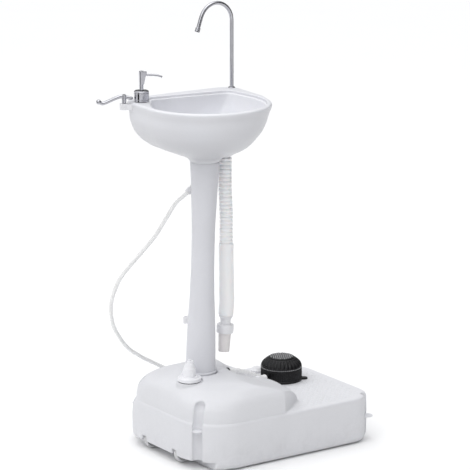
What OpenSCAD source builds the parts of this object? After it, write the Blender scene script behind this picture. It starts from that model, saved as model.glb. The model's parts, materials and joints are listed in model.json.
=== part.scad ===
// Camp wash stand: a moulded water tank on two wheels, a hollow column, a
// double-walled basin with a swivelling tap, a soap dispenser and a towel arm,
// a foot pump, a supply hose and a hanging drain hose.
// X runs along the tank's long side (pump end positive), Y to the back, Z up.
// The origin is the centre of the tank's underside, on the floor.

/* [Tank] */
// Length of the tank along X
tank_l = 520; // [500:5:560]
// Width of the tank along Y
tank_w = 398; // [380:2:420]
// Height of the low deck that carries the foot pump
deck_h = 118; // [110:1:126]
// Wall thickness of the moulded shells
wall = 3.2; // [2.5:0.1:4]
// Plan radius of the corners at the wheel end
corner_wheel = 110; // [100:1:120]
// Plan radius of the corners at the pump end
corner_pump = 70; // [60:1:80]
// Radius of the vertical corner grooves
groove_r = 13; // [10:0.5:15]

/* [Wheels] */
// Outer radius of each wheel
wheel_r = 22; // [20:0.5:23]
// Width of each wheel
wheel_w = 14; // [10:1:16]
// Distance of each wheel's middle from the centre line
wheel_y = 67; // [60:1:75]
// Radius of the steel axle pins
axle_r = 4; // [3:0.5:5]

/* [Column] */
// Height of the joint between the column and the basin
column_top = 720; // [700:5:740]

/* [Basin] */
// Height of the basin's rim above the floor
rim_h = 868; // [860:1:876]

/* [Tap] */
// Outer radius of the spout tube
spout_r = 4.75; // [4:0.25:6]
// Radius of the spout's bow
bow_r = 48; // [44:1:52]
// Height of the centre of the spout's bow
bow_h = 1034; // [1020:1:1040]

/* [Foot pump] */
// Outer radius of the pump housing
pump_r = 52; // [50:0.5:54]
// Travel of the tread
pump_travel = 18; // [12:1:20]

/* [Soap dispenser] */
// Travel of the soap pump head
soap_travel = 12; // [8:1:14]

/* [Hoses] */
// Outer diameter of the water supply hose
supply_d = 9.6; // [8:0.2:11]
// Outer diameter of the corrugated drain hose
drain_d = 34; // [30:1:36]

/* [Hidden] */
$fn = 64;
e = 0.01;
hl = tank_l / 2;
hw = tank_w / 2;

// positions
col_b = [-137, 0];           // column axis at the tank
col_t = [-122, 0];           // column axis at the basin
col_tilt = atan((col_t[0] - col_b[0]) / 524);
seat_h = 186;                // floor of the column's seat in the tank
tap_p = [31, 109];
soap_p = [-253, 76];
drain_p = [-64, -1];
pump_p = [139, 45];
cap_p = [-199, -45];
cap_h = 192;
plug_p = [126, 133];
towel_p = [-291, 94];
towel_dir = 154;             // bearing of the towel arm from above
wheel_x = -234;
wheel_z = wheel_r + 1;
elbow = [-72, 214, 128];        // elbow of the supply hose behind the tank

// corner groove centres: wheel end front and back, pump end front and back
corner_back = 105;           // plan radius of the back corner at the pump end
groove_a = [[-hl + corner_wheel, -hw + corner_wheel, corner_wheel, 210.5],
            [-hl + corner_wheel, hw - corner_wheel, corner_wheel, 149.5],
            [hl - corner_pump, -hw + corner_pump, corner_pump, -45],
            [hl - corner_back, hw - corner_back, corner_back, 45]];

// tank levels: height, inset, inset at the back
deck = [[0, 14, 14], [3, 8, 8], [8, 3, 3], [15, 0.3, 0.3], [60, 0, 0], [95, 0.2, 4],
        [108, 0.5, 13], [114, 2, 20], [deck_h, 8, 30]];

// hump levels: height, inset, corner radius, end face, front end corner,
// inset at the back, end face at the back
hump = [[108, 5, 105, 76, -17, 14, 58],
        [130, 5.5, 106, 73, -17, 15, 50],
        [145, 7, 110, 58, -16, 18, 32],
        [158, 11, 115, 36, -13, 25, 13],
        [168, 17, 120, 6, -14, 37, -4],
        [175, 24, 125, -24, -30, 52, -15],
        [184, 35, 130, -60, -62, 77, -26],
        [190, 50, 130, -82, -85, 97, -37],
        [195, 75, 118, -98, -100, 118, -57],
        [196, 100, 96, -112, -114, 134, -84]];

// basin levels: height, scale of the rim outline, shift along X
bowl = [[736, 0.30, 0], [745, 0.462, 0], [765, 0.703, -7], [785, 0.826, -9],
        [805, 0.906, -7], [825, 0.949, -5], [845, 0.973, -2], [863, 1, 0], [868, 0.985, 0]];
rim_circles = [[-130, -19, 157], [-228, 85, 50], [4, 94, 40], [-20, -10, 56]];
basin_c = [-125, -5];

// inner bowl levels: height, scale, shift towards the drain
inner = [[757, 0.18, 56, 4], [764, 0.37, 36, 4], [775, 0.56, 18, 4], [800, 0.78, 4, 3],
         [830, 0.90, 0, 2], [858, 0.97, 0, 0], [872, 1, 0, 0]];

// ---------- helpers ----------
module disc(x, y, r, z, h = e, n = 48) translate([x, y, z]) cylinder(r = r, h = h, $fn = n);
// a corner arc of plan radius r round (x, y), from angle a to a + 90, cut off at xm
module arc(x, y, r, a, xm, z) for (k = [0:6]) let (t = a + 15 * k)
    disc(min(x + (r - 12) * cos(t), xm - 12), y + (r - 12) * sin(t), 12, z, e, 32);

function circle_pt(c, r, u, v, k, n) =
    [for (i = [0:2]) c[i] + r * (u[i] * cos(360 * k / n) + v[i] * sin(360 * k / n))];
function unit(a) = a / norm(a);

// a smooth route through points: each span is cut into m steps of a spline
function cr(a, b, c, d, t) =
    0.5 * (2 * b + (c - a) * t + (2 * a - 5 * b + 4 * c - d) * t * t
    + (3 * b - a - 3 * c + d) * t * t * t);
function route(p, m) = let (n = len(p)) concat(
    [for (i = [0:n - 2], j = [0:m - 1])
        cr(p[max(i - 1, 0)], p[i], p[i + 1], p[min(i + 2, n - 1)], j / m)],
    [p[n - 1]]);

// a closed round tube swept along a route that never runs along the ref axis
module sweep(p, r, n = 10, ref = [0, 1, 0]) {
    m = len(p);
    t = [for (i = [0:m - 1]) unit(p[min(i + 1, m - 1)] - p[max(i - 1, 0)])];
    u = [for (i = [0:m - 1]) unit(cross(t[i], ref))];
    v = [for (i = [0:m - 1]) cross(t[i], u[i])];
    pts = [for (i = [0:m - 1], k = [0:n - 1]) circle_pt(p[i], r, u[i], v[i], k, n)];
    faces = concat(
        [[for (k = [0:n - 1]) k]],
        [[for (k = [n - 1:-1:0]) (m - 1) * n + k]],
        [for (i = [0:m - 2], k = [0:n - 1])
            [i * n + k, (i + 1) * n + k, (i + 1) * n + (k + 1) % n]],
        [for (i = [0:m - 2], k = [0:n - 1])
            [i * n + k, (i + 1) * n + (k + 1) % n, i * n + (k + 1) % n]]);
    polyhedron(points = pts, faces = faces, convexity = 6);
}

module ring(r1, r2, h) difference() {
    cylinder(r = r2, h = h);
    translate([0, 0, -1]) cylinder(r = r1, h = h + 2);
}

// ---------- tank ----------
module low_shell(o) hull() {
    for (s = deck) {
        i = s[1] + o;
        b = s[2] + o;
        z = s[0] == 0 ? o : (s[0] == deck_h ? deck_h - o - e : s[0]);
        disc(-hl + corner_wheel, -hw + corner_wheel, corner_wheel - i, z);
        disc(-hl + corner_wheel, hw - corner_wheel - b + i, corner_wheel - i, z);
        disc(hl - corner_pump, -hw + corner_pump, corner_pump - i, z);
        disc(hl - corner_back, hw - corner_back - b + i, corner_back - i, z);
    }
}

module hump_shell(o) hull() {
    for (s = hump) {
        i = s[1] + o;
        xr = s[3] - o;
        xc = s[4] - o;
        b = s[5] + o;
        xb = s[6] - o;
        yc = -hw + i;
        zz = s[0] - (s[0] > 150 ? o : 0);
        arc(-hl + i + s[2], -hw + i + s[2], s[2], 180, xr, zz);
        arc(-hl + i + s[2], hw - b - s[2], s[2], 90, xb, zz);
        disc(xc - 3, yc + 3, 3, zz);
        disc(xr - 15 - 6, yc + max(6, (xr - 15 - xc) * 0.82), 6, zz);
        disc(xr - 20, -60, 20, zz);
        disc(xb - 30, hw - b - 30, 30, zz);
    }
}

module wheel_pocket(r, w) for (y = [-1, 1]) translate([wheel_x, y * wheel_y + w / 2, wheel_z])
    rotate([90, 0, 0]) cylinder(r = r, h = w);

module groove(g, r, z, h) {
    a = groove_a[g];
    translate([a[0] + (a[2] + 3.5) * cos(a[3]), a[1] + (a[2] + 3.5) * sin(a[3]), z]) cylinder(r = r, h = h);
}

hose_pts = [[-76, -10, 185.6], [-64, -8, 184.4], [-52, -6, 182.8], [-28, 0, 177], [0, 8, 166.5],
            [26, 14, 155], [46, 18.6, 144.6], [58.6, 21.7, 139.2], [68, 24, 137], [71.85, 25.15, 137], [75.7, 26.3, 137]];
hose_dir = [12, 2, -1.2];

// everything that stays solid inside the tank's hollow
module tank_linings() {
    translate([col_b[0], col_b[1], 165]) cylinder(r = 46, h = 40);
    translate([cap_p[0], cap_p[1], 162]) cylinder(r = 32, h = 40);
    wheel_pocket(wheel_r + 7, 30);
    translate([-hl, -hw, 0]) cube([50, tank_w, 18.5]);
    for (g = [0:3]) groove(g, groove_r + wall, -1, 220);
    translate([pump_p[0], pump_p[1], deck_h - 12]) cylinder(r = 50, h = 14);
    translate([plug_p[0], plug_p[1], deck_h - 14]) cylinder(r = 17, h = 16);
    translate([elbow[0], 168, elbow[2]]) rotate([-90, 0, 0]) cylinder(r = 13, h = 34);
    sweep(concat([[-106, -13, 188]], hose_pts), 12.9, 12);
}

module tank() color([0.9, 0.9, 0.92]) union() {
    tank_shell();
    // mould tabs across the corner grooves
    for (g = [0:3]) {
        a = groove_a[g];
        out = a[2] + (g < 2 ? -6 : 2);
        translate([a[0] + out * cos(a[3]), a[1] + out * sin(a[3]), g < 2 ? 96 : 60])
            cylinder(r = g == 1 ? 9 : (g == 0 ? 13 : 14), h = 3);
    }
}

module tank_shell() difference() {
    union() {
        difference() {
            union() { low_shell(0); hump_shell(0); }
            difference() {
                union() { low_shell(wall); hump_shell(wall); }
                tank_linings();
            }
        }
        // spigot inside the column's foot, filler neck and elbow boss
        translate([col_b[0], col_b[1], 180]) cylinder(r = 29.5, h = 36);
        translate([cap_p[0], cap_p[1], 170]) cylinder(r = 32, h = cap_h - 170);
        translate([elbow[0], 170, elbow[2]]) rotate([-90, 0, 0]) cylinder(r = 11, h = 25);
        // raised collar where the pump's hose leaves the hump
        translate(hose_pts[0] - 1.2 * hose_dir)
            rotate([0, acos(hose_dir[2] / norm(hose_dir)), atan2(hose_dir[1], hose_dir[0])]) {
                cylinder(r1 = 7, r2 = 12.4, h = 12);
                translate([0, 0, 12]) cylinder(r = 12.4, h = 7.5);
            }
    }
    // raised strip at the wheel end
    translate([-hl - 5, -hw, -1]) cube([50, tank_w, 16]);
    // corner grooves
    for (g = [0:3]) {
        groove(g, groove_r, -1, 220);
    }
    wheel_pocket(wheel_r + 1.5, wheel_w + 6);
    wheel_pocket(axle_r + 0.05, wheel_w + 14);
    // column seat
    translate([col_b[0], col_b[1], seat_h]) ring(29.5, 40.5, 30);
    translate([col_b[0], col_b[1], 150]) cylinder(r = 24, h = 80);
    for (a = [55, 125]) translate([col_b[0], col_b[1], 206]) rotate([0, 90, a])
        cylinder(r = 1.6, h = 40);
    // filler neck
    translate([cap_p[0], cap_p[1], 140]) cylinder(r = 20, h = 70);
    translate([cap_p[0], cap_p[1], cap_h]) cylinder(r = 33, h = 10);
    // pump suction, screws, plug, outlet and the trough of the pump hose
    translate([pump_p[0], pump_p[1], 90]) cylinder(r = 7.05, h = 40);
    for (a = [30, 150, 270]) translate([pump_p[0] + 44 * cos(a), pump_p[1] + 44 * sin(a), deck_h - 11])
        cylinder(r = 1.6, h = 20);
    translate([plug_p[0], plug_p[1], 90]) cylinder(r = 12, h = 40);
    translate([elbow[0], 160, elbow[2]]) rotate([-90, 0, 0]) cylinder(r = 6.05, h = 70);
    sweep(route(hose_pts, 1), 9.6, 12);
    // passage from the hose's hole to the outlet tube
    translate([-75, -9.8, 186.2]) rotate([0, -90, 9.5]) cylinder(r = 4.6, h = 10);
    translate([-84, -11.3, 150]) cylinder(r = 4.7, h = 38);
}

// ---------- wheels ----------
module wheel_axles() color([0.6, 0.6, 0.62])
    for (y = [-1, 1]) translate([wheel_x, y * wheel_y + 13, wheel_z]) rotate([90, 0, 0])
        cylinder(r = axle_r, h = 26);

module wheel() rotate([90, 0, 0]) translate([0, 0, -wheel_w / 2]) difference() {
    union() {
        cylinder(r = wheel_r - 1.5, h = wheel_w);
        translate([0, 0, 1.5]) cylinder(r = wheel_r, h = wheel_w - 3);
    }
    translate([0, 0, -1]) cylinder(r = axle_r + 0.08, h = wheel_w + 2);
    translate([0, 0, wheel_w - 3]) ring(8.5, wheel_r - 5, 5);
    translate([0, 0, -2]) ring(8.5, wheel_r - 5, 5);
}
module wheel_left() color([0.85, 0.85, 0.86]) translate([wheel_x, wheel_y, wheel_z]) wheel();
module wheel_right() color([0.85, 0.85, 0.86]) translate([wheel_x, -wheel_y, wheel_z]) wheel();

// ---------- column ----------
// outer radius against height above the seat joint line
col_prof = [[-20, 36.6], [17, 36.4], [77, 35.2], [137, 33.2], [177, 30.8], [217, 29.4],
            [277, 28.1], [357, 28.4], [417, 30.6], [477, 33.1], [517, 35.4], [540, 35.8]];

module column() color([0.88, 0.88, 0.9]) difference() {
    union() {
        intersection() {
            translate([col_b[0], col_b[1], 196]) rotate([0, col_tilt, 0]) rotate_extrude()
                polygon(concat([[0, -20]], [for (q = col_prof) [q[1], q[0]]], [[0, 540]]));
            translate([-220, -80, seat_h + 2]) cube([200, 160, column_top - seat_h - 2]);
        }
        translate([col_b[0], col_b[1], seat_h]) cylinder(r = 39.5, h = 12);
        translate([col_t[0], col_t[1], column_top - 4]) cylinder(r = 31.2, h = 22);
    }
    intersection() {
        translate([col_b[0], col_b[1], 196]) rotate([0, col_tilt, 0]) rotate_extrude()
            polygon(concat([[0, -40], [26, -40]], [for (q = col_prof) if (q[0] > 40 && q[0] < 500) [q[1] - wall, q[0]]], [[27.5, 504], [27.5, 560], [0, 560]]));
        translate([-220, -80, 218]) cube([200, 160, 600]);
    }
    translate([col_b[0], col_b[1], seat_h - 1]) cylinder(r = 29.7, h = 34);
    for (a = [55, 125]) translate([col_b[0], col_b[1], 206]) rotate([0, 90, a]) cylinder(r = 2.1, h = 60);
    for (a = [55, 125]) translate([col_t[0], col_t[1], 730]) rotate([0, 90, a]) cylinder(r = 1.6, h = 60);
}

module screw(l, r, hr) { cylinder(r = r, h = l); translate([0, 0, l]) cylinder(r = hr, h = 2.4); }

module foot_screws() color([0.7, 0.7, 0.72])
    for (a = [55, 125]) translate([col_b[0], col_b[1], 206]) rotate([0, 90, a])
        translate([0, 0, 25]) screw(12, 1.6, 4);

module neck_screws() color([0.7, 0.7, 0.72])
    for (a = [55, 125]) translate([col_t[0], col_t[1], 730]) rotate([0, 90, a])
        translate([0, 0, 28.2]) screw(15.6, 1.6, 4);

// clips on the back left of the column: the upper one holds the supply hose
clip_z = [643, 320];
clip_r = [31.8, 34];
clip_dir = [-18, -1, -16];
module hose_clips() color([0.86, 0.86, 0.88]) {
    // ring round the supply hose, in line with it
    difference() {
        union() {
            translate([col_b[0] + 15 * (clip_z[0] - 196) / 524, 0, clip_z[0]]) rotate([0, 0, 118])
                translate([clip_r[0] - 1, -4, -5]) cube([7, 8, 10]);
            along_clip(12) cylinder(r = 8.2, h = 12);
        }
        along_clip(40) cylinder(r = supply_d / 2 + 0.95, h = 40);
        translate([col_b[0] + 15 * (clip_z[0] - 196) / 524, 0, clip_z[0] - 20]) cylinder(r = clip_r[0] + 0.5, h = 40);
    }
    // plain knob lower down
    translate([col_b[0] + 15 * (clip_z[1] - 196) / 524, 0, clip_z[1]]) rotate([0, 0, 118]) difference() {
        union() {
            translate([clip_r[1] - 1, -5, -8]) cube([6, 10, 16]);
            translate([clip_r[1] + 9, 0, -8]) cylinder(r = 7.6, h = 16);
        }
        translate([clip_r[1] + 9, 0, -9]) cylinder(r = 5.2, h = 18);
        translate([clip_r[1] + 11, -3.2, -9]) cube([12, 6.4, 18]);
        translate([0, 0, -9]) cylinder(r = clip_r[1] + 0.5, h = 18);
    }
}
module along_clip(l) translate([-143.5, 36.5, 643])
    rotate([0, acos(clip_dir[2] / norm(clip_dir)), atan2(clip_dir[1], clip_dir[0])]) translate([0, 0, -l / 2]) children();

// ---------- basin ----------
module rim_outline(z, s, dx, o = 0, dy = 0) for (q = rim_circles)
    disc(basin_c[0] + dx + (q[0] - basin_c[0]) * s, basin_c[1] + dy + (q[1] - basin_c[1]) * s, q[2] * s - o, z);

module bowl_outer(o) hull() for (s = bowl)
    rim_outline(s[0] + (s[0] < 740 ? o : 0) - (s[0] > 860 ? o * 1.4 : 0) - (s[0] > 867 ? e : 0), s[1], s[2], o);

inner_circles = [[-130, -19, 143], [-22, -12, 37], [-30, 60, 40], [-190, 80, 40]];
module bowl_inner(o) difference() {
    hull() for (s = inner) for (q = inner_circles)
        disc(-125 + s[2] + (q[0] + 125) * s[1], -5 + s[3] + (q[1] + 5) * s[1], q[2] * s[1] + o, s[0] - o);
    // soap shelf and the broad rim at the back
    translate([-247, 39, 700]) rotate([0, 0, 60]) translate([-200, o, 0]) cube([500, 200, 300]);
    translate([-207, 112, 700]) rotate([0, 0, -8]) translate([-200, o, 0]) cube([500, 200, 300]);
}

module basin() color([0.9, 0.9, 0.93]) difference() {
    union() {
        difference() {
            bowl_outer(0);
            difference() { bowl_outer(wall); bowl_inner(wall); }
        }
        translate([col_t[0], col_t[1], column_top]) cylinder(r1 = 35.8, r2 = 49, h = 22);
        // boss of the drain, from the bowl floor to the underside
        translate([drain_p[0], drain_p[1], 736]) cylinder(r = 20, h = 19);
        // thick ear round the tap's bush
        translate([tap_p[0], tap_p[1], 852]) cylinder(r = 12.5, h = 14);
    }
    bowl_inner(0);
    translate([col_t[0], col_t[1], column_top - 1]) cylinder(r = 31.4, h = 21);
    translate([drain_p[0], drain_p[1], 700]) cylinder(r = 12.6, h = 80);
    // recess of the drain's flange in the bowl floor
    translate([drain_p[0], drain_p[1], 757]) cylinder(r = 22.4, h = 12);
    // clearance for the drain's nut beside the neck
    translate([drain_p[0], drain_p[1], 716]) cylinder(r = 19.5, h = 20);
    translate([tap_p[0], tap_p[1], 840]) cylinder(r = 8.1, h = 60);
    // recess under the ear for the tap's nut
    translate([tap_p[0] + 3, tap_p[1] + 2, 780]) cylinder(r = 14.5, h = 72);
    translate([soap_p[0], soap_p[1], 840]) cylinder(r = 12.2, h = 60);
    for (a = [55, 125]) translate([col_t[0], col_t[1], 730]) rotate([0, 90, a]) {
        cylinder(r = 2.1, h = 60);
        translate([0, 0, 38]) cylinder(r = 5, h = 30);
    }
}

module drain_body() color([0.85, 0.85, 0.87]) translate([drain_p[0], drain_p[1], 0]) difference() {
    union() {
        translate([0, 0, 758.6]) cylinder(r = 22, h = 2.8);
        translate([0, 0, 696]) cylinder(r = 12.4, h = 64);
    }
    translate([0, 0, 690]) cylinder(r = 10, h = 80);
    translate([0, 0, 760]) cylinder(r = 17, h = 6);
}
module drain_strainer() color([0.8, 0.8, 0.82]) translate([drain_p[0], drain_p[1], 760]) difference() {
    cylinder(r = 16.9, h = 1.2);
    for (k = [0:5]) rotate([0, 0, 60 * k]) translate([6.2, 0, -2]) cylinder(r = 1.9, h = 6, $fn = 24);
    translate([0, 0, -2]) cylinder(r = 1.9, h = 6, $fn = 24);
}
module drain_gasket() color([0.15, 0.15, 0.15]) translate([drain_p[0], drain_p[1], 757]) ring(12.7, 21.5, 1.6);
module drain_nut() color([0.85, 0.85, 0.87]) translate([drain_p[0], drain_p[1], 728]) difference() {
    cylinder(r = 19, h = 8, $fn = 8);
    translate([0, 0, -1]) cylinder(r = 12.5, h = 10);
}

// drain hose: corrugated stretch, smooth stretch, coupling and nozzle
drain_pts = [[-64, -1, 696], [-64, -1, 672], [-64, -1, 648], [-62, -1, 610], [-61, -1, 575], [-61, -1, 542], [-61, -1, 509]];
module drain_hose() color([0.85, 0.85, 0.88]) sweep(route(drain_pts, 2), drain_d / 2 - 0.5, 12);
tip = 4;
drain_end = [-62, -1, 327];
sleeve_pts = [[-61, -1, 509], [-61, -1, 489], [-61, -1, 469], [-60, -1, 430], [-60, -1, 395],
    [-62 + 40 * sin(tip), -1, 327 + 40 * cos(tip)], [-62 + 20 * sin(tip), -1, 327 + 20 * cos(tip)], [-62, -1, 327]];
module drain_sleeve() color([0.82, 0.82, 0.85]) sweep(route(sleeve_pts, 2), 18.5, 12);

module drain_coupling() color([0.9, 0.9, 0.92]) translate(drain_end) rotate([0, tip, 0]) {
    translate([0, 0, -10]) cylinder(r1 = 12.8, r2 = 17.8, h = 10);
    translate([0, 0, -22]) cylinder(r = 12.8, h = 13);
    translate([0, 0, -44]) cylinder(r1 = 21, r2 = 22, h = 23);
}
module drain_nozzle() color([0.85, 0.83, 0.83]) translate(drain_end) rotate([0, tip, 0]) difference() {
    translate([0, 0, -91]) cylinder(r1 = 13.8, r2 = 15.6, h = 47);
    translate([0, 0, -92]) cylinder(r = 11.5, h = 40);
}

// ---------- tap ----------
module tap_base() color([0.8, 0.8, 0.82]) translate([tap_p[0], tap_p[1], 0]) difference() {
    union() {
        translate([0, 0, rim_h]) cylinder(r1 = 8.9, r2 = 7.6, h = 2.2);
        translate([0, 0, 836]) cylinder(r = 7.8, h = rim_h - 835);
        translate([0, 0, 818]) cylinder(r = 4.4, h = 19);
    }
    translate([0, 0, 843]) cylinder(r = spout_r + 0.06, h = 60);
    translate([0, 0, 810]) cylinder(r = 2.6, h = 60);
}
module tap_nut() color([0.85, 0.85, 0.85]) translate([tap_p[0], tap_p[1], 843]) difference() {
    cylinder(r = 11.2, h = 7.9, $fn = 6);
    translate([0, 0, -1]) cylinder(r = 7.9, h = 12);
}
bow_end = 160;
down = 180 - bow_end;
bow_tip = [bow_r + bow_r * cos(down), 0, bow_h + bow_r * sin(down)];
module tap_spout() color([0.8, 0.8, 0.82]) translate([tap_p[0], tap_p[1], 0]) rotate([0, 0, 183]) difference() {
    union() {
        translate([0, 0, 844]) cylinder(r = spout_r, h = bow_h + 1.5 - 844);
        translate([bow_r, 0, bow_h]) rotate([90, 0, 0]) rotate([0, 0, down])
            rotate_extrude(angle = bow_end) translate([bow_r, 0]) circle(r = spout_r + 0.06);
        translate(bow_tip) rotate([0, bow_end, 0]) translate([0, 0, -1.5]) cylinder(r = spout_r, h = 36.5);
    }
    translate([0, 0, 840]) cylinder(r = spout_r - 1.2, h = 60);
    translate(bow_tip) rotate([0, bow_end, 0]) translate([0, 0, 10]) cylinder(r = spout_r - 1.2, h = 36.5);
}
module tap_aerator() color([0.8, 0.8, 0.82]) translate([tap_p[0], tap_p[1], 0]) rotate([0, 0, 183])
    translate(bow_tip) rotate([0, bow_end, 0]) translate([0, 0, 26]) difference() {
        cylinder(r = spout_r + 1.4, h = 11);
        translate([0, 0, -1]) cylinder(r = spout_r, h = 10);
        translate([0, 0, -1]) cylinder(r = 3, h = 20);
    }

// supply hose: from the tap's tail, down behind the bowl, through the upper
// clip on the column, out in a wide loop and back to the tank's rear elbow
supply_pts = [[31, 109, 818], [31, 109, 806], [31, 109, 794], [26, 110, 768], [6, 108, 740], [-25, 98, 716],
    [-58, 82, 696], [-92, 62, 676], [-122, 46, 660], [-143.5, 36.5, 643], [-158, 44, 628], [-172, 56, 610], [-191, 72, 569],
    [-211, 86, 529], [-243, 104, 485], [-276, 122, 441], [-292, 134, 408], [-298.5, 150, 360], [-287, 167, 311],
    [-265, 179, 271], [-228, 192, 226], [-183, 203, 193], [-150, 210, 173],
    [elbow[0] - 44 * cos(30), elbow[1], elbow[2] + 44 * sin(30)],
    [elbow[0] - 34 * cos(30), elbow[1], elbow[2] + 34 * sin(30)],
    [elbow[0] - 24 * cos(30), elbow[1], elbow[2] + 24 * sin(30)]];
module supply_hose() color([0.93, 0.93, 0.93]) sweep(route(supply_pts, 3), supply_d / 2, 8, [0.62, -0.78, 0.05]);

// elbow on the tank's rear wall
module outlet_barb() color([0.85, 0.85, 0.87]) difference() {
    union() {
        translate([elbow[0], 176, elbow[2]]) rotate([-90, 0, 0]) cylinder(r = 6, h = elbow[1] - 176);
        translate([elbow[0], 195, elbow[2]]) rotate([-90, 0, 0]) cylinder(r = 10, h = 4);
        translate(elbow) sphere(r = 6);
        translate(elbow) rotate([0, -60, 0]) cylinder(r = 4.2, h = 24);
    }
    translate([elbow[0], 170, elbow[2]]) rotate([-90, 0, 0]) cylinder(r = 2.6, h = elbow[1] - 170);
    translate(elbow) rotate([0, -60, 0]) cylinder(r = 2.4, h = 26);
}

// ---------- soap dispenser ----------
module soap_collar() color([0.75, 0.75, 0.77]) translate([soap_p[0], soap_p[1], 0]) difference() {
    union() {
        translate([0, 0, rim_h + 1]) cylinder(r = 18, h = 24);
        translate([0, 0, rim_h + 25]) cylinder(r1 = 18, r2 = 16.5, h = 2);
        translate([0, 0, 856]) cylinder(r = 12, h = 14);
    }
    translate([0, 0, 850]) cylinder(r = 8.5, h = 41);
    translate([0, 0, 880]) cylinder(r = 5.08, h = 40);
}
module soap_gasket() color([0.2, 0.2, 0.2]) translate([soap_p[0], soap_p[1], rim_h + 0.03]) ring(12.1, 15.5, 0.95);
module soap_bottle() color([0.92, 0.92, 0.92]) translate([soap_p[0], soap_p[1], 0]) difference() {
    union() {
        translate([0, 0, 846]) cylinder(r = 10.5, h = 10);
        translate([0, 0, 812]) cylinder(r = 12.5, h = 34);
    }
    translate([0, 0, 814]) cylinder(r = 11, h = 30);
    translate([0, 0, 840]) cylinder(r = 8.5, h = 30);
}
module soap_dip_tube() color([0.9, 0.9, 0.9]) translate([soap_p[0], soap_p[1], 816]) ring(1.6, 2.5, 38);
module coil(r, w, h, turns) {
    m = turns * 12;
    sweep([for (i = [0:m]) [r * cos(30 * i), r * sin(30 * i), w + (h - 2 * w) * i / m]], w, 6, [0, 0, 1]);
}
module soap_spring() color([0.6, 0.6, 0.6]) translate([soap_p[0], soap_p[1], 856]) coil(4, 0.5, 22, 6);
module soap_head() color([0.75, 0.75, 0.77]) translate([soap_p[0], soap_p[1], 0]) {
    translate([0, 0, 878]) cylinder(r = 5, h = 31);
    translate([0, 0, 909]) cylinder(r1 = 5, r2 = 5.8, h = 31);
    translate([0, 0, 940]) cylinder(r1 = 5.8, r2 = 4.6, h = 2);
    rotate([0, 0, -34]) {
        rotate([90, 0, 0]) translate([0, 0, -4.4]) linear_extrude(8.8)
            polygon([[0, 909.5], [6.2, 909.5], [10.5, 930], [13, 938], [12.4, 941], [0, 941]]);
        translate([6, 0, 933.5]) rotate([0, 94, 0]) cylinder(r = 2.4, h = 42);
    }
}

// ---------- towel arm ----------
// The pivot axis is vertical; the arm runs outwards from it and back a little.
module towel_bracket() color([0.92, 0.92, 0.93]) difference() {
    translate([towel_p[0], towel_p[1], 850]) {
        cylinder(r = 10.5, h = 14.6);
        rotate([0, 0, -30]) translate([0, -9, 0]) cube([26, 18, 13.6]);
    }
    translate([towel_p[0], towel_p[1], 840]) cylinder(r = 2.5, h = 40);
    bowl_outer(-0.05);
}
module towel_pivot() color([0.7, 0.7, 0.72]) translate([towel_p[0], towel_p[1], 0]) {
    translate([0, 0, 852]) cylinder(r = 2.5, h = 33.4);
    translate([0, 0, 885.4]) cylinder(r = 4, h = 1.2);
}
module arm_bar(p, q, r) translate(p) rotate([0, 90 - atan2(q[2] - p[2], norm([q[0] - p[0], q[1] - p[1]])), 0])
    cylinder(r = r, h = norm(q - p));
arm_pts = [[-17, 0, 877], [0, 0, 880.5], [9, 0, 881.3], [49, 0, 866], [61, 0, 869.8]];
module towel_arm() color([0.8, 0.8, 0.82]) translate([towel_p[0], towel_p[1], 0]) rotate([0, 0, towel_dir]) difference() {
    union() {
        translate([0, 0, 865.4]) cylinder(r = 5.4, h = 19.8);
        for (k = [0:3]) arm_bar(arm_pts[k], arm_pts[k + 1], 4.3);
        for (k = [0, 2, 3]) translate(arm_pts[k]) rotate([0, 100, 0]) sphere(r = 4.8);
        translate(arm_pts[4]) sphere(r = 6);
    }
    translate([0, 0, 855]) cylinder(r = 2.58, h = 40);
}

// ---------- foot pump ----------
module pump_base() color([0.12, 0.12, 0.13]) translate([pump_p[0], pump_p[1], 0]) difference() {
    union() {
        translate([0, 0, deck_h]) cylinder(r = pump_r + 1.5, h = 5);
        translate([0, 0, deck_h]) cylinder(r = pump_r, h = 37);
        rotate([0, 0, -34]) translate([pump_r - 3, -9, deck_h]) cube([20, 18, 7]);
        translate([0, 0, 100]) cylinder(r = 7, h = 22);
        rotate([0, 0, 196.5]) translate([pump_r - 3, 0, 137]) rotate([0, 90, 0]) cylinder(r = 5, h = 17);
    }
    // chamber, open at the top under the bellows
    translate([0, 0, deck_h + 6]) cylinder(r = pump_r - 4, h = 40);
    translate([0, 0, 90]) cylinder(r = 4.2, h = 40);
    rotate([0, 0, 196.5]) translate([40, 0, 137]) rotate([0, 90, 0]) cylinder(r = 3, h = 40);
    for (a = [30, 150, 270]) translate([44 * cos(a), 44 * sin(a), 110]) cylinder(r = 2.1, h = 20);
}
module pump_screws() color([0.6, 0.6, 0.62]) for (a = [30, 150, 270])
    translate([pump_p[0] + 44 * cos(a), pump_p[1] + 44 * sin(a), deck_h - 8]) screw(14, 1.6, 3.8);
module pump_valves() color([0.3, 0.3, 0.32]) translate([pump_p[0], pump_p[1], 0]) {
    translate([0, 0, deck_h + 6]) cylinder(r = 8, h = 1.5);
    rotate([0, 0, 196.5]) translate([50, 0, 137]) rotate([0, 90, 0]) cylinder(r = 2.98, h = 1.5);
}
module pump_spring() color([0.6, 0.6, 0.6]) translate([pump_p[0], pump_p[1], deck_h + 8]) coil(22, 1.4, 42, 5);
module pump_bellows() color([0.1, 0.1, 0.11]) translate([pump_p[0], pump_p[1], 0]) rotate_extrude()
    polygon([[pump_r, 155], [pump_r - 0.5, 159], [pump_r - 3, 163], [43, 169], [36, 174], [33.2, 175.6],
             [33.2, 171.6], [41, 166], [47, 160], [48, 155]]);
module pump_tread() color([0.1, 0.1, 0.11]) translate([pump_p[0], pump_p[1], 0]) difference() {
    union() {
        translate([0, 0, 168]) cylinder(r = 32.6, h = 8);
        translate([0, 0, 176]) cylinder(r1 = 32.6, r2 = 30, h = 2.6);
    }
    translate([0, 0, 160]) cylinder(r = 28, h = 10);
}
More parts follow.
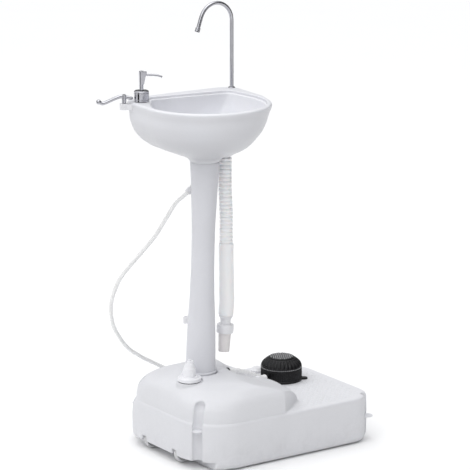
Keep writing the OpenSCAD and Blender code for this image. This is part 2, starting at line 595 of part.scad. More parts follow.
module pickup_tube() color([0.9, 0.9, 0.9]) translate([pump_p[0], pump_p[1], 16]) ring(3, 4.2, 90);
module pickup_filter() color([0.25, 0.25, 0.27]) translate([pump_p[0], pump_p[1], 5]) difference() {
    cylinder(r = 9, h = 16);
    translate([0, 0, 4]) cylinder(r = 4.3, h = 20);
    for (k = [0:5]) rotate([0, 0, 60 * k]) translate([0, 0, 3]) rotate([0, 90, 0]) cylinder(r = 1.5, h = 12, $fn = 16);
}
module pump_hose() color([0.93, 0.93, 0.93]) sweep(route(hose_pts, 3), 8, 12);
module hose_grommet() color([0.3, 0.3, 0.32]) translate(hose_pts[0] + 0.12 * hose_dir)
    rotate([0, acos(hose_dir[2] / norm(hose_dir)), atan2(hose_dir[1], hose_dir[0])]) ring(8.02, 9.2, 8);
outlet_pts = [[-84, -11.3, 181], [-84, -11.3, 172], [-84, -11.3, 162], [-83.6, -6, 148], [-82.4, 10, 138],
    [-80, 40, 132], [-76.5, 90, 129], [-73.4, 130, 128], [-72, 152, 128], [-72, 164, 128], [-72, 176, 128]];
module outlet_tube() color([0.93, 0.93, 0.93]) sweep(route(outlet_pts, 3), 4.6, 8, [1, 0.02, 0.01]);

// ---------- filler cap and plug ----------
module filler_cap() color([0.95, 0.95, 0.97]) translate([cap_p[0], cap_p[1], 0]) difference() {
    union() {
        translate([0, 0, cap_h + 1.6]) cylinder(r = 29, h = 9);
        translate([0, 0, cap_h + 10.6]) cylinder(r1 = 25.5, r2 = 24, h = 6.4);
        translate([0, 0, cap_h + 17]) cylinder(r1 = 20, r2 = 18.5, h = 10);
        translate([0, 0, cap_h + 27]) cylinder(r1 = 16.5, r2 = 11, h = 17);
        translate([0, 0, cap_h + 44]) cylinder(r = 10, h = 8);
        translate([0, 0, cap_h - 12]) cylinder(r = 19.6, h = 14);
    }
    translate([0, 0, cap_h - 13]) cylinder(r = 16, h = 12);
    translate([-12, -2.2, cap_h + 45]) cube([24, 4.4, 12]);
}
module cap_gasket() color([0.2, 0.2, 0.2]) translate([cap_p[0], cap_p[1], cap_h]) ring(19.8, 27, 1.6);
module tank_plug() color([0.85, 0.85, 0.87]) translate([plug_p[0], plug_p[1], 0]) {
    translate([0, 0, deck_h]) cylinder(r = 17, h = 6);
    translate([0, 0, deck_h + 6]) cylinder(r1 = 15, r2 = 11, h = 6);
    translate([0, 0, deck_h - 12]) cylinder(r = 11.8, h = 13);
}

tank();
wheel_axles();
wheel_left();
wheel_right();
column();
foot_screws();
neck_screws();
hose_clips();
basin();
drain_body();
drain_strainer();
drain_gasket();
drain_nut();
drain_hose();
drain_sleeve();
drain_coupling();
drain_nozzle();
tap_base();
tap_nut();
tap_spout();
tap_aerator();
supply_hose();
soap_collar();
soap_gasket();
soap_bottle();
soap_dip_tube();
soap_spring();
soap_head();
towel_bracket();
towel_pivot();
towel_arm();
pump_base();
pump_screws();
pump_valves();
pump_spring();
pump_bellows();
pump_tread();
pickup_tube();
pickup_filter();
pump_hose();
hose_grommet();
outlet_tube();
outlet_barb();
filler_cap();
cap_gasket();
tank_plug();
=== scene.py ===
import json
import math

import bmesh
import bpy
import numpy as np
from mathutils import Matrix, Vector

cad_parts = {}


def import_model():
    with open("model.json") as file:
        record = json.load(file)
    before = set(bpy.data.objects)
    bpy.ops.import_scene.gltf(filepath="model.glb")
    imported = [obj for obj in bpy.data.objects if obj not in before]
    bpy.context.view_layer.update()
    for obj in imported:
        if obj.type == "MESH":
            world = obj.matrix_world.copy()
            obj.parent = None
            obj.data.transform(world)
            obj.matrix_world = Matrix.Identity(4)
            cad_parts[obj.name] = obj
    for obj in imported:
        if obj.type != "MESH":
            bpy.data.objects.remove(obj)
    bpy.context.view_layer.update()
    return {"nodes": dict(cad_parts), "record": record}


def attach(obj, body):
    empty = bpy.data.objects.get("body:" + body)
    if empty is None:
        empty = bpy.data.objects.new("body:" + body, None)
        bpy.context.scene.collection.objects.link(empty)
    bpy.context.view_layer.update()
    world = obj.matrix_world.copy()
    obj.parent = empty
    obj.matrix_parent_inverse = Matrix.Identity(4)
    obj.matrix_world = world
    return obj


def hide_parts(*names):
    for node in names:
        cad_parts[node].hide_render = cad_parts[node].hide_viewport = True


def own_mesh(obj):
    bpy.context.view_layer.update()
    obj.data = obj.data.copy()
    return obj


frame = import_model()
MM = 0.001
NODES = frame["nodes"]


# ---------------------------------------------------------------- camera
cam_data = bpy.data.cameras.new("camera")
cam_data.sensor_width = 36.0
cam_data.lens = 199.15
camera = bpy.data.objects.new("camera", cam_data)
bpy.context.scene.collection.objects.link(camera)
camera.location = (-3.5346, -5.0927, 2.0155)
aim = Vector((-0.2101, -0.2561, 0.600)) - camera.location
camera.rotation_euler = aim.to_track_quat("-Z", "Y").to_euler()
cam_data.clip_start, cam_data.clip_end = 0.1, 60
bpy.context.scene.camera = camera
bpy.context.scene.view_settings.view_transform = "Standard"


# ---------------------------------------------------------------- materials
def shader(name):
    m = bpy.data.materials.new(name)
    m.use_nodes = True
    nt = m.node_tree
    nt.nodes.clear()
    out = nt.nodes.new("ShaderNodeOutputMaterial")
    b = nt.nodes.new("ShaderNodeBsdfPrincipled")
    nt.links.new(b.outputs[0], out.inputs[0])
    return m, nt, b


def coords(nt, scale=(1, 1, 1)):
    t = nt.nodes.new("ShaderNodeTexCoord")
    if tuple(scale) == (1, 1, 1):
        return t.outputs["Object"]
    mp = nt.nodes.new("ShaderNodeMapping")
    mp.inputs["Scale"].default_value = scale
    nt.links.new(t.outputs["Object"], mp.inputs["Vector"])
    return mp.outputs["Vector"]


def noise(nt, vec, scale, detail=4.0, rough=0.55, distort=0.0):
    n = nt.nodes.new("ShaderNodeTexNoise")
    n.inputs["Scale"].default_value = scale
    n.inputs["Detail"].default_value = detail
    n.inputs["Roughness"].default_value = rough
    n.inputs["Distortion"].default_value = distort
    nt.links.new(vec, n.inputs["Vector"])
    return n.outputs["Fac"]


def ramp(nt, fac, stops):
    r = nt.nodes.new("ShaderNodeValToRGB")
    e = r.color_ramp.elements
    while len(e) < len(stops):
        e.new(0.5)
    for k, (p, c) in enumerate(stops):
        e[k].position = p
        e[k].color = (*c, 1) if len(c) == 3 else c
    nt.links.new(fac, r.inputs["Fac"])
    return r.outputs["Color"]


def span(nt, fac, a, b, lo=0.3, hi=0.7):
    r = nt.nodes.new("ShaderNodeMapRange")
    r.inputs["From Min"].default_value = lo
    r.inputs["From Max"].default_value = hi
    r.inputs["To Min"].default_value = a
    r.inputs["To Max"].default_value = b
    nt.links.new(fac, r.inputs["Value"])
    return r.outputs["Result"]


def mixed(nt, fac, a, b, mode="MIX"):
    m = nt.nodes.new("ShaderNodeMix")
    m.data_type = "RGBA"
    m.blend_type = mode
    if isinstance(fac, (int, float)):
        m.inputs[0].default_value = fac
    else:
        nt.links.new(fac, m.inputs[0])
    for sock, v in ((m.inputs[6], a), (m.inputs[7], b)):
        if isinstance(v, tuple):
            sock.default_value = (*v, 1)
        else:
            nt.links.new(v, sock)
    return m.outputs[2]


def bump(nt, height, dist, strength=1.0, normal=None):
    b = nt.nodes.new("ShaderNodeBump")
    b.inputs["Strength"].default_value = strength
    b.inputs["Distance"].default_value = dist
    nt.links.new(height, b.inputs["Height"])
    if normal is not None:
        nt.links.new(normal, b.inputs["Normal"])
    return b.outputs["Normal"]


def scaled(c, k):
    return tuple(min(1.0, v * k) for v in c)


def plastic(name, base, rough=(0.38, 0.52), grain=1100, grain_h=0.00006, wave_h=0.0004, spread=0.03,
            scuffs=0.5, edge=0.5, foot=None, coat=0.0, transmission=0.0, sss=0.0, tint=(1, 1, 1), underside_shade=1.0):
    """moulded plastic: cloudy colour, moulding waves, fine grain, scuffs, painted shade in creases and on undersides,
    painted highlight on edges
    """
    m, nt, b = shader(name)
    vec = coords(nt)
    cloud = noise(nt, vec, 7.0, 5.0, 0.6, 0.4)
    fine = noise(nt, vec, 160.0, 4.0, 0.6)
    col = ramp(nt, cloud, [(0.28, scaled(base, 1 - spread)), (0.52, base),
                           (0.75, scaled(tuple(x * y for x, y in zip(base, tint)), 1 + spread * 0.7))])
    col = mixed(nt, span(nt, fine, 0.0, 0.5), col, scaled(base, 1 - spread * 0.9))
    # painted shade: creases (low pointiness) are darkened; painted highlight: convex edges (high pointiness) are made
    # paler
    geo = nt.nodes.new("ShaderNodeNewGeometry")
    crease_shade = ramp(nt, geo.outputs["Pointiness"], [(0.44, (1, 1, 1)), (0.492, (0, 0, 0))])
    ridge = ramp(nt, geo.outputs["Pointiness"], [(0.51, (0, 0, 0)), (0.58, (1, 1, 1))])
    col = mixed(nt, mixed(nt, 1.0, crease_shade, (edge * 0.5,) * 3, "MULTIPLY"), col, scaled(base, 0.72))
    col = mixed(nt, mixed(nt, 1.0, ridge, (edge * 0.5,) * 3, "MULTIPLY"), col, scaled(base, 1.07))
    if underside_shade < 1:  # painted shade: downward-facing surfaces are made greyer
        sep = nt.nodes.new("ShaderNodeSeparateXYZ")
        nt.links.new(geo.outputs["Normal"], sep.inputs[0])
        col = mixed(nt, span(nt, sep.outputs["Z"], 1.0, 0.0, -0.95, 0.05), col, scaled(base, underside_shade))
    # long thin scuffs
    lines = noise(nt, coords(nt, (3.0, 14.0, 60.0)), 9.0, 6.0, 0.62, 1.6)
    scuff = ramp(nt, lines, [(0.60, (0, 0, 0)), (0.66, (1, 1, 1)), (0.70, (0, 0, 0))])
    col = mixed(nt, mixed(nt, 1.0, scuff, (scuffs * 0.22,) * 3, "MULTIPLY"), col, scaled(base, 0.86))
    if foot is not None:  # dust and rub marks low down
        sep = nt.nodes.new("ShaderNodeSeparateXYZ")
        nt.links.new(vec, sep.inputs[0])
        low = span(nt, sep.outputs["Z"], 1.0, 0.0, foot[0], foot[1])
        spots = ramp(nt, noise(nt, vec, 42.0, 7.0, 0.7, 0.5), [(0.45, (0, 0, 0)), (0.72, (1, 1, 1))])
        col = mixed(nt, mixed(nt, 1.0, mixed(nt, 1.0, spots, low, "MULTIPLY"), (0.35,) * 3, "MULTIPLY"),
                    col, scaled(base, 0.7))
    nt.links.new(col, b.inputs["Base Color"])
    wear = mixed(nt, span(nt, fine, 0.0, 1.0), (rough[0],) * 3, (rough[1],) * 3)
    wear = mixed(nt, mixed(nt, 1.0, scuff, (scuffs,) * 3, "MULTIPLY"), wear, (min(1, rough[1] + 0.18),) * 3)
    nt.links.new(wear, b.inputs["Roughness"])
    waves = noise(nt, vec, 26.0, 2.0, 0.5)
    g = noise(nt, vec, grain, 3.0, 0.6)
    n = bump(nt, waves, wave_h, 0.35)
    n = bump(nt, g, grain_h, 0.6, n)
    nt.links.new(n, b.inputs["Normal"])
    b.inputs["IOR"].default_value = 1.5
    b.inputs["Coat Weight"].default_value = coat
    b.inputs["Coat Roughness"].default_value = 0.2
    b.inputs["Transmission Weight"].default_value = transmission
    if sss:
        b.inputs["Subsurface Weight"].default_value = sss
        b.inputs["Subsurface Radius"].default_value = (0.006, 0.005, 0.0045)
        b.inputs["Subsurface Scale"].default_value = 1.0
    return m


def metal(name, base, rough=(0.05, 0.16), smudge=1.0, brushed=0.0):
    m, nt, b = shader(name)
    vec = coords(nt)
    cloud = noise(nt, vec, 55.0, 5.0, 0.6, 0.6)
    col = ramp(nt, cloud, [(0.3, scaled(base, 0.9)), (0.55, base), (0.75, scaled(base, 1.05))])
    nt.links.new(col, b.inputs["Base Color"])
    b.inputs["Metallic"].default_value = 1.0
    prints = noise(nt, vec, 130.0, 6.0, 0.65, 1.2)
    nt.links.new(span(nt, prints, rough[0], rough[1], 0.35, 0.72), b.inputs["Roughness"])
    fine = noise(nt, coords(nt, (1, 1, 12.0 if brushed else 1)), 900.0, 3.0, 0.6)
    n = bump(nt, fine, 0.00002 + brushed * 0.00008, 0.25 * smudge)
    nt.links.new(n, b.inputs["Normal"])
    return m


def rubber(name, base, rough=(0.34, 0.55), grain_h=0.00012, sheen=0.0, specular=0.5, crest_highlight=0.012):
    m, nt, b = shader(name)
    vec = coords(nt)
    cloud = noise(nt, vec, 30.0, 6.0, 0.65, 0.8)
    col = ramp(nt, cloud, [(0.3, scaled(base, 0.7)), (0.55, base), (0.78, scaled(base, 1.9))])
    geo = nt.nodes.new("ShaderNodeNewGeometry")
    # painted highlight: convex crests (high pointiness) are made lighter
    ridge = ramp(nt, geo.outputs["Pointiness"], [(0.51, (0, 0, 0)), (0.60, (1, 1, 1))])
    col = mixed(nt, mixed(nt, 1.0, ridge, (0.6,) * 3, "MULTIPLY"), col, tuple(v * 2.2 + crest_highlight for v in base))
    nt.links.new(col, b.inputs["Base Color"])
    nt.links.new(span(nt, noise(nt, vec, 210.0, 5.0, 0.6), rough[0], rough[1], 0.35, 0.7), b.inputs["Roughness"])
    n = bump(nt, noise(nt, vec, 1300.0, 2.0, 0.6), grain_h, 0.5)
    nt.links.new(n, b.inputs["Normal"])
    b.inputs["Sheen Weight"].default_value = sheen
    b.inputs["Specular IOR Level"].default_value = specular
    return m


M = {
    "tank": plastic("tank_plastic", (0.745, 0.748, 0.775), rough=(0.40, 0.55), foot=(0.0, 0.09), grain_h=0.00009),
    "column": plastic("column_plastic", (0.735, 0.738, 0.775), rough=(0.40, 0.54), foot=None),
    # the basin's undersides get painted shade
    "basin": plastic("basin_plastic", (0.765, 0.768, 0.80), rough=(0.30, 0.44), coat=0.08, tint=(0.99, 1.0, 1.01),
                     underside_shade=0.66),
    "wheel": plastic("wheel_plastic", (0.66, 0.66, 0.67), rough=(0.45, 0.6), scuffs=1.0, foot=(0.0, 0.05)),
    "fitting": plastic("white_fitting", (0.83, 0.83, 0.85), rough=(0.26, 0.38), coat=0.1, grain_h=0.00004),
    "cap": plastic("cap_plastic", (0.89, 0.89, 0.92), rough=(0.30, 0.42), coat=0.05, grain_h=0.00005),
    "hose": plastic("hose_plastic", (0.965, 0.965, 0.97), rough=(0.2, 0.34), coat=0.15, transmission=0.0, grain_h=0.00003),
    "clear": plastic("hose_clear", (0.97, 0.97, 0.965), rough=(0.18, 0.3), coat=0.2, transmission=0.12, grain_h=0.00002,
                     scuffs=0.2),
    "ribbed": plastic("hose_ribbed", (0.965, 0.965, 0.975), rough=(0.34, 0.48), grain_h=0.00005, sss=0.5),
    "nozzle": plastic("nozzle_plastic", (0.85, 0.82, 0.81), rough=(0.4, 0.52), grain_h=0.00008, spread=0.06),
    "bottle": plastic("bottle_plastic", (0.82, 0.83, 0.84), rough=(0.25, 0.35), transmission=0.4),
    "chrome": metal("chrome", (0.46, 0.46, 0.49)),
    "steel": metal("steel", (0.62, 0.62, 0.64), rough=(0.22, 0.4), brushed=1.0),
    "black": rubber("pump_rubber", (0.007, 0.007, 0.008), rough=(0.14, 0.26), specular=0.24, crest_highlight=0.05),
    # shine: the pump rubber made lighter, a painted highlight
    "shine": rubber("pump_painted_highlight", (0.19, 0.19, 0.195), rough=(0.12, 0.22), specular=0.6, crest_highlight=0.08),
    "seal": rubber("seal_rubber", (0.03, 0.03, 0.032), rough=(0.5, 0.7)),
}
SLOT_MAT = {"hdpe_tank": "tank", "hdpe_column": "column", "hdpe_basin": "basin", "wheel_plastic": "wheel", "steel": "steel",
            "white_fitting": "fitting", "hose_white": "hose", "hose_grey": "ribbed", "chrome": "chrome",
            "seal_rubber": "seal", "pump_black": "black", "bottle": "bottle"}


# ---------------------------------------------------------------- mesh helpers
def obj(name, verts, faces, mat, body="stand", slot=None, replaces=(), smooth=True, angle=None):
    me = bpy.data.meshes.new(name)
    verts = np.asarray(verts, float)
    me.from_pydata((verts * MM).tolist(), [], [list(map(int, f)) for f in faces])
    bm = bmesh.new()
    bm.from_mesh(me)
    bmesh.ops.remove_doubles(bm, verts=bm.verts, dist=2e-6)
    bmesh.ops.dissolve_degenerate(bm, edges=bm.edges, dist=1e-7)
    bmesh.ops.recalc_face_normals(bm, faces=bm.faces)
    if angle is not None:
        for e in bm.edges:
            if len(e.link_faces) == 2 and e.calc_face_angle(0) > math.radians(angle):
                e.smooth = False
    for f in bm.faces:
        f.smooth = smooth
    bm.to_mesh(me)
    bm.free()
    o = bpy.data.objects.new(name, me)
    bpy.context.scene.collection.objects.link(o)
    me.materials.append(M[mat])
    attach(o, body)
    if replaces:
        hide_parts(*replaces)
    return o


def big_obj(name, verts, quads, mat, **kw):
    """the same for a large quad mesh that is already clean"""
    me = bpy.data.meshes.new(name)
    me.vertices.add(len(verts))
    me.vertices.foreach_set("co", (verts * MM).astype(np.float32).ravel())
    me.loops.add(len(quads) * 4)
    me.loops.foreach_set("vertex_index", quads.astype(np.int32).ravel())
    me.polygons.add(len(quads))
    me.polygons.foreach_set("loop_start", np.arange(len(quads), dtype=np.int32) * 4)
    me.polygons.foreach_set("use_smooth", np.ones(len(quads), bool))
    me.update(calc_edges=True)
    me.validate()
    o = bpy.data.objects.new(name, me)
    bpy.context.scene.collection.objects.link(o)
    me.materials.append(M[mat])
    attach(o, kw.get("body", "stand"))
    if kw.get("replaces"):
        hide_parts(*kw["replaces"])
    return o


def fillet(p, r, n=4):
    """rounds the inner corners of a polyline of (radius, height) points"""
    p = [np.array(q, float) for q in p]
    out = [p[0]]
    for i in range(1, len(p) - 1):
        a, b, c = p[i - 1], p[i], p[i + 1]
        la, lc = np.linalg.norm(a - b), np.linalg.norm(c - b)
        u, v = (a - b) / la, (c - b) / lc
        ang = math.acos(max(-1, min(1, float(u @ v))))
        if ang > math.radians(172):
            out.append(b)
            continue
        t = min(r / math.tan(ang / 2), 0.45 * la, 0.45 * lc)
        s, e = b + u * t, b + v * t
        for k in np.linspace(0, 1, n + 1):
            out.append((1 - k) ** 2 * s + 2 * k * (1 - k) * b + k ** 2 * e)
    out.append(p[-1])
    return out


def lathe_mesh(prof, segs=72, closed=False, mod=None):
    prof = np.array([np.array(q, float) for q in prof])
    th = np.arange(segs) * 2 * math.pi / segs
    r = np.repeat(prof[:, :1], segs, 1)
    z = np.repeat(prof[:, 1:2], segs, 1)
    if mod is not None:
        r, z = mod(r, z, th[None, :])
    v = np.stack([r * np.cos(th), r * np.sin(th), z], -1).reshape(-1, 3)
    n = len(prof)
    f = []
    for i in range(n if closed else n - 1):
        j = (i + 1) % n
        for k in range(segs):
            q = (k + 1) % segs
            f.append((i * segs + k, i * segs + q, j * segs + q, j * segs + k))
    return v, f


def placed(v, at=(0, 0, 0), rot=None):
    v = np.asarray(v, float)
    if rot is not None:
        v = v @ np.array(rot.to_3x3()).T
    return v + np.array(at, float)


def rot(axis, deg):
    return Matrix.Rotation(math.radians(deg), 3, axis)


def joined(parts):
    vs, fs, n = [], [], 0
    for v, f in parts:
        vs.append(np.asarray(v, float))
        fs += [tuple(i + n for i in q) for q in f]
        n += len(v)
    return np.concatenate(vs), fs


def tube_mesh(pts, r, segs=24, caps=True, inner=None):
    """a round tube along points, with a radius per point, and flat ends when capped"""
    p = np.array(pts, float)
    n = len(p)
    r = np.full(n, r, float) if np.isscalar(r) else np.array(r, float)
    t = np.gradient(p, axis=0)
    t /= np.linalg.norm(t, axis=1)[:, None]
    ref = np.array([0, 0, 1.0]) if abs(t[0][2]) < 0.9 else np.array([1.0, 0, 0])
    u = np.cross(t[0], ref)
    u /= np.linalg.norm(u)
    rings = []
    th = np.arange(segs) * 2 * math.pi / segs
    for i in range(n):
        u = u - (u @ t[i]) * t[i]
        u /= np.linalg.norm(u)
        w = np.cross(t[i], u)
        rings.append(p[i] + r[i] * (np.cos(th)[:, None] * u + np.sin(th)[:, None] * w))
    v = np.concatenate(rings)
    f = [(i * segs + k, i * segs + (k + 1) % segs, (i + 1) * segs + (k + 1) % segs, (i + 1) * segs + k)
         for i in range(n - 1) for k in range(segs)]
    if caps:
        f.append(tuple(range(segs))[::-1])
        f.append(tuple(range((n - 1) * segs, n * segs)))
    return v, f


def cr(a, b, c, d, t):
    return 0.5 * (2 * b + (c - a) * t + (2 * a - 5 * b + 4 * c - d) * t * t + (3 * b - a - 3 * c + d) * t ** 3)


def route(p, m):
    p = [np.array(q, float) for q in p]
    n = len(p)
    out = [cr(p[max(i - 1, 0)], p[i], p[i + 1], p[min(i + 2, n - 1)], j / m) for i in range(n - 1) for j in range(m)]
    return np.array(out + [p[-1]])


def lengths(p):
    return np.concatenate([[0], np.cumsum(np.linalg.norm(np.diff(p, axis=0), axis=1))])


def resampled(p, step):
    s = lengths(p)
    n = max(3, int(round(s[-1] / step)) + 1)
    q = np.linspace(0, s[-1], n)
    return np.stack([np.interp(q, s, p[:, k]) for k in range(3)], 1), q


# ---------------------------------------------------------------- cords
# supply hose: tap tail, behind the bowl, the clip on the column, a wide loop, the rear elbow
elbow = np.array([-72.0, 214.0, 128.0])
edir = np.array([-math.cos(math.radians(30)), 0, math.sin(math.radians(30))])
supply_pts = [(31, 109, 818), (31, 109, 806), (31, 109, 794), (26, 110, 768), (6, 108, 740), (-25, 98, 716),
              (-58, 82, 696), (-92, 62, 676), (-122, 46, 660), (-143.5, 36.5, 643), (-158, 44, 628), (-172, 56, 610),
              (-191, 72, 569), (-211, 86, 529), (-243, 104, 485), (-276, 122, 441), (-292, 134, 408),
              (-298.5, 150, 360), (-287, 167, 311), (-265, 179, 271), (-228, 192, 226), (-183, 203, 193),
              (-150, 210, 173), tuple(elbow + 44 * edir), tuple(elbow + 34 * edir), tuple(elbow + 24 * edir)]
supply_line, s_len = resampled(route(supply_pts, 8), 3.0)
v, f = tube_mesh(supply_line, 4.8, 20)
supply_hose = obj("supply_hose_tube", v, f, "clear", slot="hose_white", replaces=["supply_hose"])

# drain hose: cuff, corrugated stretch, smooth sleeve, then its coupling and nozzle
TIP = math.radians(4)
drain_pts = [(-64, -1, 696), (-64, -1, 672), (-64, -1, 648), (-62, -1, 610), (-61, -1, 575), (-61, -1, 542),
             (-61, -1, 509), (-61, -1, 489), (-61, -1, 469), (-60, -1, 430), (-60, -1, 395),
             (-62 + 40 * math.sin(TIP), -1, 327 + 40 * math.cos(TIP)),
             (-62 + 20 * math.sin(TIP), -1, 327 + 20 * math.cos(TIP)), (-62, -1, 327)]
drain_line, d_len = resampled(route(drain_pts, 8), 0.8)
PITCH = 9.84


def ribs_at(z):
    """bead-like ridges: wide round crowns, narrow deep valleys"""
    ridge = abs(math.sin(math.pi * z / PITCH))
    return 14.1 + 2.4 * ridge ** 0.7


def drain_radius(s):
    z = s
    if z < 184:
        return ribs_at(z)
    k = min(1, (z - 184) / 6)
    k = k * k * (3 - 2 * k)
    end = max(0.0, 1 - (d_len[-1] - z) / 3.0)
    return 14.2 + 4.1 * k + 0.25 * math.sin(z * 0.021) - 0.9 * end


v, f = tube_mesh(drain_line, [drain_radius(s) for s in d_len], 48)
drain_hose = obj("drain_hose_tube", v, f, "ribbed", slot="hose_grey", replaces=["drain_hose", "drain_sleeve"])

# the first ridges sit on the drain's tail
cz = np.linspace(696.2, 721.8, 88)
prof = [(12.45, 696.0)] + [(ribs_at(z - 696), z) for z in cz] + [(12.45, 722.0), (12.45, 696.0)]
v, f = lathe_mesh(prof, 64)
obj("drain_cuff_rings", placed(v, (-64, -1, 0)), f, "ribbed", slot="hose_grey")

down = rot("Y", math.degrees(TIP))
parts = []
v, f = lathe_mesh(fillet([(0, 0), (12.6, 0), (17.6, -0.3), (17.6, -2), (13.0, -9.5), (12.8, -22), (20.6, -22.4), (21.4, -30),
                          (20.9, -43.6), (13.4, -44.2), (0, -44.2)], 1.2), 64)
v = placed(v, (-62, -1, 327), down)
coupling = obj("drain_coupling_body", v, f, "fitting", slot="white_fitting", replaces=["drain_coupling"], angle=40)


def nozzle_ribs(r, z, th):
    band = (z < -52) & (z > -86) & (r > 12.5)
    return r - band * 0.45 * (0.5 + 0.5 * np.cos(th * 24)) ** 2, z


zz = np.linspace(-45, -90, 24)
prof = [(11.6, -44.0), (15.2, -44.0)] + [(15.5 + (zv + 44) * 1.8 / 47, zv) for zv in zz] + \
       [(13.4, -91), (11.7, -91), (11.5, -90), (11.5, -52), (0, -52)]
v, f = lathe_mesh(prof, 96, mod=nozzle_ribs)
v = placed(v, (-62, -1, 327), down)
nozzle = obj("drain_nozzle_body", v, f, "nozzle", slot="hose_grey", replaces=["drain_nozzle"], angle=40)


# ---------------------------------------------------------------- distance fields
NANG = 240
ANG = np.arange(NANG) * 2 * math.pi / NANG
NRM = np.stack([np.cos(ANG), np.sin(ANG)]).astype(np.float32)


def pchip(xk, yk, x):
    """monotone cubic through knots, for several columns at once; constant outside"""
    xk, yk = np.array(xk, float), np.array(yk, float)
    h = np.diff(xk)[:, None]
    d = np.diff(yk, axis=0) / h
    m = np.zeros_like(yk)
    same = d[:-1] * d[1:] > 0
    w1, w2 = 2 * h[1:] + h[:-1], h[1:] + 2 * h[:-1]
    with np.errstate(divide="ignore", invalid="ignore"):
        hm = (w1 + w2) / (w1 / d[:-1] + w2 / d[1:])
    m[1:-1] = np.where(same, hm, 0)
    m[0], m[-1] = d[0], d[-1]
    x = np.clip(x, xk[0], xk[-1])
    i = int(np.clip(np.searchsorted(xk, x) - 1, 0, len(xk) - 2))
    t = (x - xk[i]) / h[i]
    t2, t3 = t * t, t ** 3
    return (2 * t3 - 3 * t2 + 1) * yk[i] + (t3 - 2 * t2 + t) * h[i] * m[i] + (3 * t2 - 2 * t3) * yk[i + 1] \
        + (t3 - t2) * h[i] * m[i + 1]


def slices(gx, gy, gz, circles_at):
    p = np.stack(np.meshgrid(gx, gy, indexing="ij"), -1).reshape(-1, 2).astype(np.float32)
    d = p @ NRM
    out = np.empty((len(gx), len(gy), len(gz)), np.float32)
    for k, z in enumerate(gz):
        c = np.asarray(circles_at(z), np.float32)
        h = (c[:, :2] @ NRM + c[:, 2:3]).max(0)
        out[:, :, k] = (d - h).max(1).reshape(len(gx), len(gy))
    return out


def true_distance(f, gx, gy, gz):
    """near its surface, a field divided by its slope is the distance"""
    g = np.gradient(f, gx, gy, gz)
    n = np.sqrt(g[0] ** 2 + g[1] ** 2 + g[2] ** 2)
    return (f / np.clip(n, 0.6, 60)).astype(np.float32)


def smin(a, b, k):
    h = np.clip(0.5 + 0.5 * (b - a) / k, 0, 1)
    return b * (1 - h) + a * h - k * h * (1 - h)


def smax(a, b, k):
    return -smin(-a, -b, k)


def sample(f, q):
    i = np.clip(np.floor(q).astype(np.int32), 0, np.array(f.shape) - 2)
    t = q - i
    r = 0
    for dx in (0, 1):
        for dy in (0, 1):
            for dz in (0, 1):
                w = (t[:, 0] if dx else 1 - t[:, 0]) * (t[:, 1] if dy else 1 - t[:, 1]) * (t[:, 2] if dz else 1 - t[:, 2])
                r = r + w * f[i[:, 0] + dx, i[:, 1] + dy, i[:, 2] + dz]
    return r


